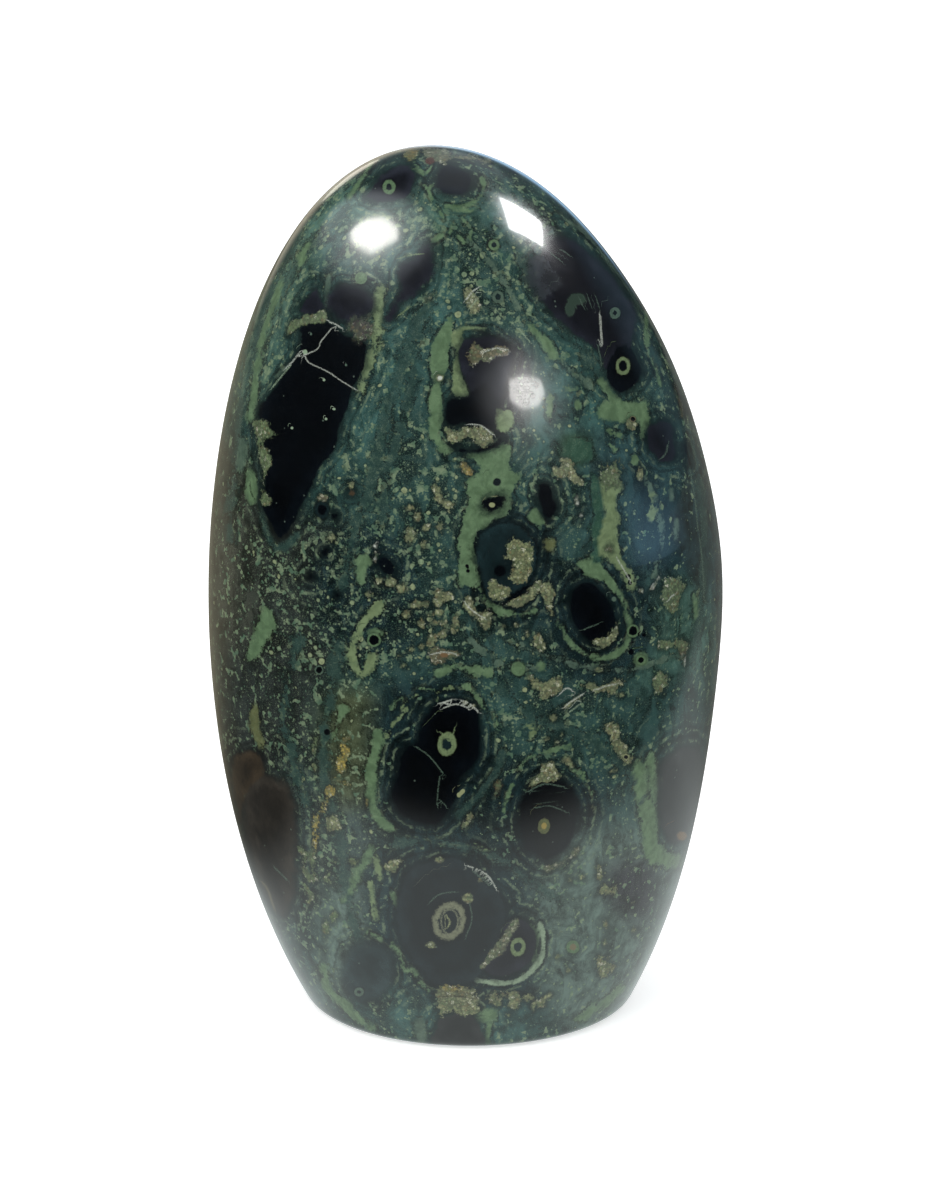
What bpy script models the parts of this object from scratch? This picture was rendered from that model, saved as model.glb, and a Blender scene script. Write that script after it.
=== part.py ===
"""Polished free-standing freeform of kambaba jasper.

One piece of solid stone: a tall rounded egg-like form, a little fuller low
down, whose top leans to the left and slightly back. The lower end is ground
flat, so that it stands. Metres, +Z up, the flat base on z = 0, the front
facing -Y. The origin is in the middle of the outline, on the base.
"""

import math

import bmesh
import bpy

MM = 0.001

# ---- driving dimensions, in millimetres -------------------------------------
WIDEST_Z = 69.6          # height of the widest section above the base
TOP_RISE = 80.0          # from the widest section to the very top
HALF_WIDTH = 43.6        # left to right, at the widest section
HALF_DEPTH = 33.0        # front to back, at the widest section
LOWER_RISE_WIDTH = 91.4  # half axis that the lower end would have, seen from the front
LOWER_RISE_DEPTH = 104.8  # the same, seen from the side
BLEND_SPAN = 25.0        # the upper and lower curves run into each other over this much, each way
TOP_LEAN_X = -5.1        # the top stands this far to the left of the middle
TOP_LEAN_Y = 1.5         # and this far back
FOOT_SHIFT_X = 1.6       # the lower end drifts this far to the right, were it not cut off
CENTRE_X = -0.2          # keeps the outline centred on the origin
EDGE_ROUND = 1.5         # rounding of the edge around the flat base

# The right flank is not a perfect arc: height, how far it stands out, spread.
RIGHT_FLANK = (
    (132.0, -0.50, 14.0),
    (78.0, 0.50, 18.0),
    (45.0, -0.15, 16.0),
)

# ---- resolution of the faceted solid ----------------------------------------
SEGMENTS = 80
EDGE_RINGS = 4
LOWER_RINGS = 18
UPPER_RINGS = 25


def smoothstep(t):
    t = min(max(t, 0.0), 1.0)
    return t * t * (3.0 - 2.0 * t)


def section(z):
    """Centre and half axes of the level section at height z, in millimetres."""
    k = smoothstep((z - WIDEST_Z + BLEND_SPAN) / (2.0 * BLEND_SPAN))
    rise_w = LOWER_RISE_WIDTH + (TOP_RISE - LOWER_RISE_WIDTH) * k
    rise_d = LOWER_RISE_DEPTH + (TOP_RISE - LOWER_RISE_DEPTH) * k
    u = (z - WIDEST_Z) / rise_w
    v = (z - WIDEST_Z) / rise_d
    inset = 0.0
    if z < EDGE_ROUND:
        inset = EDGE_ROUND - math.sqrt(max(EDGE_ROUND ** 2 - (EDGE_ROUND - z) ** 2, 0.0))
    half_x = HALF_WIDTH * math.sqrt(max(1.0 - u * u, 0.0)) - inset
    half_y = HALF_DEPTH * math.sqrt(max(1.0 - v * v, 0.0)) - inset
    up = min(max(u, 0.0), 1.0)
    down = min(max(-u, 0.0), 1.0)
    centre_x = CENTRE_X + TOP_LEAN_X * up * up + FOOT_SHIFT_X * down * down
    centre_y = TOP_LEAN_Y * up * up
    return centre_x, centre_y, half_x, half_y


def flank(z):
    """How far the right flank stands out of its arc at height z."""
    return sum(out * math.exp(-((z - at) / spread) ** 2) for at, out, spread in RIGHT_FLANK)


def surface(z, angle):
    """A point of the surface: angle 0 is the right flank, -90 degrees the front."""
    cx, cy, hx, hy = section(z)
    c, s = math.cos(angle), math.sin(angle)
    x = cx + hx * c + flank(z) * max(c, 0.0) ** 2
    y = cy + hy * s
    return x * MM, y * MM, z * MM


def ring_heights():
    """Heights of the rings, from the base up, close together where it curves most."""
    heights = [EDGE_ROUND * (1.0 - math.cos(math.radians(90.0 * i / EDGE_RINGS))) for i in range(EDGE_RINGS)]
    for i in range(LOWER_RINGS):
        heights.append(EDGE_ROUND + (WIDEST_Z - EDGE_ROUND) * i / LOWER_RINGS)
    for i in range(UPPER_RINGS):
        heights.append(WIDEST_Z + TOP_RISE * math.sin(math.radians(90.0 * i / UPPER_RINGS)))
    return heights


def build_stone():
    bm = bmesh.new()
    rings = []
    for z in ring_heights():
        ring = [bm.verts.new(surface(z, 2.0 * math.pi * i / SEGMENTS)) for i in range(SEGMENTS)]
        rings.append(ring)

    # the flat base, one face
    bm.faces.new(list(reversed(rings[0])))

    # the side, ring to ring
    for low, high in zip(rings, rings[1:]):
        for i in range(SEGMENTS):
            j = (i + 1) % SEGMENTS
            bm.faces.new((low[i], low[j], high[j], high[i]))

    # the top closes in one point
    cx, cy, _, _ = section(WIDEST_Z + TOP_RISE)
    top = bm.verts.new((cx * MM, cy * MM, (WIDEST_Z + TOP_RISE) * MM))
    last = rings[-1]
    for i in range(SEGMENTS):
        bm.faces.new((last[i], last[(i + 1) % SEGMENTS], top))

    bmesh.ops.recalc_face_normals(bm, faces=bm.faces)
    mesh = bpy.data.meshes.new("stone")
    bm.to_mesh(mesh)
    bm.free()
    mesh.shade_smooth()
    mesh.set_sharp_from_angle(angle=math.radians(40.0))
    return mesh


def stone_material():
    mat = bpy.data.materials.new("polished_kambaba_jasper")
    mat.use_nodes = True
    shader = mat.node_tree.nodes["Principled BSDF"]
    shader.inputs["Base Color"].default_value = (0.030, 0.062, 0.052, 1.0)
    shader.inputs["Roughness"].default_value = 0.12
    shader.inputs["Metallic"].default_value = 0.0
    shader.inputs["IOR"].default_value = 1.54
    mat.diffuse_color = (0.030, 0.062, 0.052, 1.0)
    return mat


for old in list(bpy.data.objects):
    bpy.data.objects.remove(old, do_unlink=True)

stone = bpy.data.objects.new("stone", build_stone())
stone.data.materials.append(stone_material())
bpy.context.scene.collection.objects.link(stone)
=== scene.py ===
import math

import bpy
import numpy as np
from mathutils import Matrix, Vector


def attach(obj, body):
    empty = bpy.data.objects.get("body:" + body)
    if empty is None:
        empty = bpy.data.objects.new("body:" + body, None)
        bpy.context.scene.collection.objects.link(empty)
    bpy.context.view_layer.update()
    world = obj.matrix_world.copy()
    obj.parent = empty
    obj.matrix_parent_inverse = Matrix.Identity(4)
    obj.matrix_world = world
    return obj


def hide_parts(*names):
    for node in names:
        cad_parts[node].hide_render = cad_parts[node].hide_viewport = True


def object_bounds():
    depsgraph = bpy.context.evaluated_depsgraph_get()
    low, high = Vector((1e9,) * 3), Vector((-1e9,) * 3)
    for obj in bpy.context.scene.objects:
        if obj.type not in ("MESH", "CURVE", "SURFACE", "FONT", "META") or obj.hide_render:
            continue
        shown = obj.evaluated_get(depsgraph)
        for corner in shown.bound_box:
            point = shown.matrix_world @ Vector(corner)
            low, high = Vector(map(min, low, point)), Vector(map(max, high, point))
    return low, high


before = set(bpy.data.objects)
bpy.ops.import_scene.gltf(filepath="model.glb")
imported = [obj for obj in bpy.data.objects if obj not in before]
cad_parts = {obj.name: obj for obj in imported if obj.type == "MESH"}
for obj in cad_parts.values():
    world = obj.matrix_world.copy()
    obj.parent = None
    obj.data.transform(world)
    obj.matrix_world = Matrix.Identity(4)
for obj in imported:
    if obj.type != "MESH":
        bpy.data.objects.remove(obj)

MM = 0.001
solid_low, solid_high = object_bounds()
solid_low, solid_high = list(solid_low), list(solid_high)

# =============================================================================
# The form, in millimetres: the same curves as the solid
# =============================================================================
WIDEST_Z, TOP_RISE, HALF_WIDTH, HALF_DEPTH = 69.6, 80.0, 43.6, 33.0
LOWER_RISE_WIDTH, LOWER_RISE_DEPTH, BLEND_SPAN = 91.4, 104.8, 25.0
TOP_LEAN_X, TOP_LEAN_Y, FOOT_SHIFT_X, CENTRE_X, EDGE_ROUND = -5.1, 1.5, 1.6, -0.2, 1.5
RIGHT_FLANK = ((132.0, -0.50, 14.0), (78.0, 0.50, 18.0), (45.0, -0.15, 16.0))
TOP_Z = WIDEST_Z + TOP_RISE


def surface(z, th):
    """Points of the surface; th = 0 is the right flank, -pi/2 the front."""
    z = np.asarray(z, float)
    th = np.asarray(th, float)
    t = np.clip((z - WIDEST_Z + BLEND_SPAN) / (2 * BLEND_SPAN), 0, 1)
    k = t * t * (3 - 2 * t)
    u = (z - WIDEST_Z) / (LOWER_RISE_WIDTH + (TOP_RISE - LOWER_RISE_WIDTH) * k)
    v = (z - WIDEST_Z) / (LOWER_RISE_DEPTH + (TOP_RISE - LOWER_RISE_DEPTH) * k)
    inset = np.where(z < EDGE_ROUND, EDGE_ROUND - np.sqrt(np.clip(EDGE_ROUND ** 2 - (EDGE_ROUND - z) ** 2, 0, None)), 0)
    hx = HALF_WIDTH * np.sqrt(np.clip(1 - u * u, 0, None)) - inset
    hy = HALF_DEPTH * np.sqrt(np.clip(1 - v * v, 0, None)) - inset
    up, down = np.clip(u, 0, 1), np.clip(-u, 0, 1)
    cx = CENTRE_X + TOP_LEAN_X * up ** 2 + FOOT_SHIFT_X * down ** 2
    cy = TOP_LEAN_Y * up ** 2
    flank = sum(o * np.exp(-((z - at) / s) ** 2) for at, o, s in RIGHT_FLANK)
    c, s = np.cos(th), np.sin(th)
    return np.stack([cx + hx * c + flank * np.clip(c, 0, 1) ** 2, cy + hy * s, z + 0 * th], -1)


def surface_normal(z, th):
    z = np.clip(z, 0.02, TOP_Z - 0.02)
    a = surface(z, th + 1e-4) - surface(z, th - 1e-4)
    b = surface(z + 1e-2, th) - surface(z - 1e-2, th)
    n = np.cross(a, b)
    return n / np.linalg.norm(n, axis=-1, keepdims=True)


# =============================================================================
# The view: 17 degrees above the horizon, from 550 mm, and where points fall
# in a frame of 928 by 1200
# =============================================================================
VIEW_UP, VIEW_FAR, VIEW_AT, FOCAL = math.radians(17.0), 550.0, (-0.24, 0.0, 72.19), 3223.0
EYE = np.array([VIEW_AT[0], -VIEW_FAR * math.cos(VIEW_UP), VIEW_AT[2] + VIEW_FAR * math.sin(VIEW_UP)])
AHEAD = np.array([0.0, math.cos(VIEW_UP), -math.sin(VIEW_UP)])
ACROSS = np.array([1.0, 0.0, 0.0])
UPWARD = np.array([0.0, math.sin(VIEW_UP), math.cos(VIEW_UP)])
PX = 5.86    # frame pixels to the millimetre at the stone


def project(p):
    d = p - EYE
    w = d @ AHEAD
    return np.stack([464 + FOCAL * (d @ ACROSS) / w, 600 - FOCAL * (d @ UPWARD) / w], -1)


# =============================================================================
# The mesh: rings of columns, closest together on the front
# =============================================================================
COLUMNS, SIDE_RINGS, BASE_RINGS = 288, 300, 30
column_y = 2 * math.pi * (np.arange(COLUMNS) / COLUMNS - 0.5)
column_th = -math.pi / 2 + column_y - 0.5 * np.sin(column_y)

fine_z = np.concatenate([
    EDGE_ROUND * (1 - np.cos(np.linspace(0, math.pi / 2, 40)[:-1])),
    np.linspace(EDGE_ROUND, WIDEST_Z, 400)[:-1],
    WIDEST_Z + TOP_RISE * np.sin(np.linspace(0, math.pi / 2, 600)),
])
meridian = (surface(fine_z, np.full(len(fine_z), -math.pi / 2)) + surface(fine_z, np.zeros(len(fine_z)))) / 2
run = np.concatenate([[0], np.cumsum(np.linalg.norm(np.diff(meridian, axis=0), axis=1))])
ring_run = np.concatenate([np.linspace(0, run[39], 6)[:-1], np.linspace(run[39], run[-1], SIDE_RINGS - 4)[:-1]])
ring_z = np.interp(ring_run, run, fine_z)

Z, TH = np.meshgrid(ring_z, column_th, indexing="ij")
side = surface(Z, TH)
side_n = surface_normal(Z, TH)
foot = side[0]
foot_mid = foot.mean(0)
inward = np.linspace(0, 1, BASE_RINGS + 1)[1:-1]
base = foot_mid + (foot - foot_mid)[None] * (1 - inward)[:, None, None]
apex = surface(np.array([TOP_Z]), np.array([0.0]))

points = np.concatenate([side.reshape(-1, 3), apex, base.reshape(-1, 3), foot_mid[None]])
normals = np.concatenate([
    side_n.reshape(-1, 3), [[0, 0, 1.0]], np.tile([0, 0, -1.0], (base.size // 3 + 1, 1)),
])
n_side = side.shape[0] * COLUMNS
i_apex, i_base, i_foot = n_side, n_side + 1, len(points) - 1

SIDE_TOP = 0.985     # share of the chart's height that the side takes, from BASE_HIGH up
BASE_HIGH = 0.150
faces, chart = [], []
r = np.arange(side.shape[0] - 1)[:, None]
c = np.arange(COLUMNS)[None]
c2 = (c + 1) % COLUMNS
quads = np.stack([r * COLUMNS + c, r * COLUMNS + c2, (r + 1) * COLUMNS + c2, (r + 1) * COLUMNS + c], -1).reshape(-1, 4)
ring_v = BASE_HIGH + 0.01 + (SIDE_TOP - BASE_HIGH - 0.01) * ring_run / run[-1]
cu = np.broadcast_to(c / COLUMNS, (len(r), COLUMNS))
cu2 = np.broadcast_to((c + 1) / COLUMNS, (len(r), COLUMNS))
v0 = np.broadcast_to(ring_v[:-1, None], cu.shape)
v1 = np.broadcast_to(ring_v[1:, None], cu.shape)
quad_uv = np.stack([np.stack([cu, v0], -1), np.stack([cu2, v0], -1), np.stack([cu2, v1], -1), np.stack([cu, v1], -1)], -2).reshape(-1, 2)
last = (side.shape[0] - 1) * COLUMNS
cc = np.arange(COLUMNS)
top_tri = np.stack([last + cc, last + (cc + 1) % COLUMNS, np.full(COLUMNS, i_apex)], -1)
top_uv = np.stack([
    np.stack([cc / COLUMNS, np.full(COLUMNS, ring_v[-1])], -1),
    np.stack([(cc + 1) / COLUMNS, np.full(COLUMNS, ring_v[-1])], -1),
    np.stack([(cc + 0.5) / COLUMNS, np.full(COLUMNS, SIDE_TOP)], -1)], -2).reshape(-1, 2)


def base_uv(p):
    return np.stack([0.12 + (p[..., 0] - foot_mid[0]) / 460, 0.072 + (p[..., 1] - foot_mid[1]) / 460], -1)


rb = np.arange(-1, BASE_RINGS - 2)[:, None]
low_ring = np.where(rb < 0, 0, i_base + rb * COLUMNS)
base_quads = np.stack([low_ring + c2, low_ring + c, i_base + (rb + 1) * COLUMNS + c, i_base + (rb + 1) * COLUMNS + c2], -1).reshape(-1, 4)
base_last = i_base + (BASE_RINGS - 2) * COLUMNS
base_tri = np.stack([base_last + (cc + 1) % COLUMNS, base_last + cc, np.full(COLUMNS, i_foot)], -1)

loops = np.concatenate([quads.ravel(), top_tri.ravel(), base_quads.ravel(), base_tri.ravel()])
sizes = np.concatenate([np.full(len(quads), 4), np.full(COLUMNS, 3), np.full(len(base_quads), 4), np.full(COLUMNS, 3)])
uv = np.concatenate([quad_uv, top_uv, base_uv(points[base_quads.ravel()]), base_uv(points[base_tri.ravel()])])

mesh = bpy.data.meshes.new("kambaba_stone")
mesh.vertices.add(len(points))
mesh.vertices.foreach_set("co", (points * MM).astype(np.float32).ravel())
mesh.loops.add(len(loops))
mesh.loops.foreach_set("vertex_index", loops.astype(np.int32))
mesh.polygons.add(len(sizes))
mesh.polygons.foreach_set("loop_start", np.concatenate([[0], np.cumsum(sizes)[:-1]]).astype(np.int32))
mesh.polygons.foreach_set("loop_total", sizes.astype(np.int32))
mesh.update(calc_edges=True)
layer = mesh.uv_layers.new(name="OFBake")
layer.data.foreach_set("uv", uv.astype(np.float32).ravel())
mesh.shade_smooth()
mesh.validate()

# =============================================================================
# Where each point falls, for the markings of the front
# =============================================================================
spot = project(points)
line_of_sight = points - EYE
line_of_sight /= np.linalg.norm(line_of_sight, axis=1, keepdims=True)
facing = -(line_of_sight * normals).sum(1)
facing[i_base:] = -1.0
N = len(points)


def smooth(t, low, high):
    t = np.clip((t - low) / (high - low), 0, 1)
    return t * t * (3 - 2 * t)


fade_front = smooth(facing, -0.18, 0.04)                     # 1 where the front's markings hold
front_penalty = np.clip(0.03 - facing, 0, None) * 260.0


def srgb(*v):
    v = np.array(v, float) / 255.0
    return np.where(v <= 0.04045, v / 12.92, ((v + 0.055) / 1.055) ** 2.4)


TONE = {
    # matrix
    "teal": (41, 67, 64), "deep": (25, 45, 48), "grey": (50, 64, 62), "olive": (68, 76, 54), "blue": (42, 68, 70),
    "lite": (64, 94, 84), "mint": (50, 82, 78), "pale": (84, 106, 84), "brown": (60, 54, 44), "dusk": (38, 44, 42),
    "smog": (54, 57, 50), "foot": (84, 103, 95), "purp": (44, 45, 50), "moss": (54, 78, 56),
    # bands
    "lg": (92, 118, 85), "sg": (47, 80, 64), "ol": (92, 98, 62), "cg": (130, 140, 106), "wg": (136, 156, 130),
    "tg": (43, 67, 62), "gg": (78, 98, 84),
    # dark bodies
    "bk": (3, 6, 10), "bb": (4, 9, 18), "pb": (25, 27, 34), "gd": (18, 28, 31), "br": (46, 38, 27), "sd": (35, 37, 37),
    "sl": (45, 41, 35), "pm": (64, 58, 58), "go": (34, 48, 49), "dp": (48, 52, 57), "dg": (48, 64, 54),
    "bg": (12, 20, 19), "rd": (74, 46, 36), "dt": (20, 36, 38),
    # cream, yellow and white
    "cr": (140, 146, 106), "cy": (146, 130, 70), "cb": (112, 106, 80), "wt": (182, 188, 176), "or": (112, 88, 58), "yl": (176, 158, 78),
    "ck": (118, 122, 98), "cl": (112, 130, 92), "cw": (128, 132, 98),
}
TONE = {k: srgb(*v) for k, v in TONE.items()}


def parse(text):
    """One marking to a line: tone, form (p outline, w6 stroke 6 wide, o5x7 oval), s softness, r raggedness, points."""
    for line in text.strip().splitlines():
        words = line.split("#")[0].split()
        if not words:
            continue
        item = {"tone": words[0], "form": words[1], "s": None, "r": None, "pts": []}
        for w in words[2:]:
            if w[0] in "srkt" and "," not in w:
                item[w[0]] = float(w[1:])
            else:
                item["pts"].append([float(x) for x in w.split(",")])
        item["pts"] = np.array(item["pts"])
        yield item


def rounded(pts, closed, steps=4):
    """A smooth line through the points."""
    n = len(pts)
    if n < 3:
        return pts
    out = []
    for i in range(n if closed else n - 1):
        p0 = pts[(i - 1) % n] if closed else pts[max(i - 1, 0)]
        p1, p2 = pts[i], pts[(i + 1) % n]
        p3 = pts[(i + 2) % n] if closed else pts[min(i + 2, n - 1)]
        for s in range(steps):
            t = s / steps
            out.append(0.5 * (2 * p1 + (p2 - p0) * t + (2 * p0 - 5 * p1 + 4 * p2 - p3) * t * t + (3 * p1 - p0 - 3 * p2 + p3) * t ** 3))
    if not closed:
        out.append(pts[-1])
    return np.array(out)


def to_outline(q, pts):
    """Distance to a closed outline, below zero inside."""
    best = np.full(len(q), 1e9)
    inside = np.zeros(len(q), bool)
    for a, b in zip(pts, np.roll(pts, -1, 0)):
        e, w = b - a, q - a
        t = np.clip(w @ e / max(e @ e, 1e-9), 0, 1)
        best = np.minimum(best, ((w - t[:, None] * e) ** 2).sum(1))
        if a[1] != b[1]:
            inside ^= ((a[1] > q[:, 1]) != (b[1] > q[:, 1])) & (q[:, 0] < (b[0] - a[0]) * (q[:, 1] - a[1]) / (b[1] - a[1]) + a[0])
    return np.where(inside, -1, 1) * np.sqrt(best)


def to_line(q, pts):
    """Distance to an open line, in two or three dimensions."""
    best = np.full(len(q), 1e9)
    for a, b in zip(pts, pts[1:]):
        e, w = b - a, q - a
        t = np.clip(w @ e / max(e @ e, 1e-9), 0, 1)
        best = np.minimum(best, ((w - t[:, None] * e) ** 2).sum(1))
    return np.sqrt(best)


def marking_distance(item, q):
    if item["form"][0] == "p":
        return to_outline(q, rounded(item["pts"], True))
    if item["form"][0] == "w":
        return to_line(q, rounded(item["pts"], False)) - float(item["form"][1:]) / 2
    rx, ry = (float(x) for x in item["form"][1:].split("x"))
    d = q - item["pts"][0]
    if item.get("t"):
        a = math.radians(item["t"])
        d = d @ np.array([[math.cos(a), -math.sin(a)], [math.sin(a), math.cos(a)]])
    return (np.sqrt((d[:, 0] / rx) ** 2 + (d[:, 1] / ry) ** 2) - 1) * min(rx, ry)


FAR = 42.0


class Markings:
    """One kind of marking: how far each point is from its edge, and the tone, softness and raggedness there."""

    def __init__(self, soft, rag):
        self.d = np.full(N, FAR)
        self.rgb = np.zeros((N, 3)) + TONE["teal"]
        self.par = np.tile([soft, rag], (N, 1))
        self.soft, self.rag = soft, rag

    def put(self, index, d, tone, soft=None, rag=None):
        better = d < self.d[index]
        j = index[better]
        self.d[j] = d[better]
        self.rgb[j] = TONE[tone] if isinstance(tone, str) else tone
        self.par[j] = (self.soft if soft is None else soft, self.rag if rag is None else rag)

    def draw(self, text):
        for item in parse(text):
            low, high = item["pts"].min(0) - FAR - 20, item["pts"].max(0) + FAR + 20
            index = np.nonzero((facing > -0.4) & (spot > low).all(1) & (spot < high).all(1))[0]
            if len(index):
                self.put(index, marking_distance(item, spot[index]) + front_penalty[index], item["tone"], item["s"], item["r"])

    def write(self, name):
        a = mesh.attributes.new(name + "_tone", "FLOAT_COLOR", "POINT")
        a.data.foreach_set("color", np.concatenate([self.rgb, np.ones((N, 1))], 1).astype(np.float32).ravel())
        a = mesh.attributes.new(name + "_edge", "FLOAT_VECTOR", "POINT")
        a.data.foreach_set("vector", np.concatenate([self.d[:, None], self.par], 1).astype(np.float32).ravel())


# =============================================================================
# The markings of the front, drawn in the 928 by 1200 frame
# =============================================================================
# washes of the matrix: tone, softness s, share of grains r
GROUND = """
teal p s60 r0.55 200,120 740,120 740,1060 200,1060
mint p s30 r0.60 380,250 470,230 500,300 470,330 430,330 400,400 370,470 330,560 300,540 340,450 370,350
lite p s26 r0.75 330,190 420,205 480,215 500,235 470,270 440,260 400,215 350,215
mint p s20 r0.10 486,215 500,205 512,220 505,262 492,240
lite p s18 r0.85 250,300 300,230 350,190 365,200 320,250 290,300 262,380 245,400
teal p s26 r0.80 455,235 540,250 560,320 600,370 560,400 500,330 455,300
mint p s24 r0.45 540,330 600,375 600,460 560,470 530,430
moss p s12 r0.25 565,438 592,442 588,462 566,462
mint p s14 r0.30 590,478 604,480 602,560 592,556
blue p s30 r0.35 600,440 690,470 715,600 690,640 640,600 600,540
deep p s24 r0.20 640,480 700,520 700,590 660,580 640,530
teal p s30 r0.75 340,470 450,440 460,600 440,640 370,640 340,560
deep p s26 r0.80 300,540 400,545 405,640 310,645
dusk p s30 r0.80 235,520 330,530 350,600 320,680 240,690 222,600
smog p s22 r0.55 212,450 250,470 255,600 262,700 250,760 222,740 210,600
dusk p s34 r0.60 225,660 300,670 320,740 300,900 260,900 225,760
grey p s34 r0.70 300,760 370,760 390,860 370,990 300,960 290,860
olive p s22 r0.70 330,700 372,700 378,760 360,800 330,790
olive p s16 r0.55 362,705 384,715 372,765 360,740
deep p s26 r0.25 385,690 500,690 505,790 470,850 400,840 380,780
deep p s24 r0.25 505,760 590,745 600,840 560,880 510,870
deep p s30 r0.20 385,850 510,850 560,920 540,1000 430,1010 380,950
teal p s26 r0.65 480,640 600,660 640,740 600,770 500,740
foot p s28 r0.45 552,855 650,835 690,870 660,980 590,1030 545,975
purp p s22 r0.50 612,868 655,868 650,915 615,905
teal p s24 r0.50 300,930 400,980 430,1040 370,1030 310,990
lite p s22 r0.45 630,592 700,596 706,695 648,695
deep p s24 r0.75 320,548 400,545 402,640 330,640
foot p s20 r0.40 330,892 352,892 352,985 322,985
mint p s20 r0.45 395,1010 470,1015 520,1010 540,1042 420,1042
teal p s26 r0.35 640,700 700,680 705,800 670,850 640,780
deep p s20 r0.30 545,575 640,575 650,650 600,680 560,660
deep p s18 r0.20 470,520 545,520 550,610 490,620 465,580
purp p s16 r0.30 475,350 520,345 530,400 480,430
"""

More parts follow.
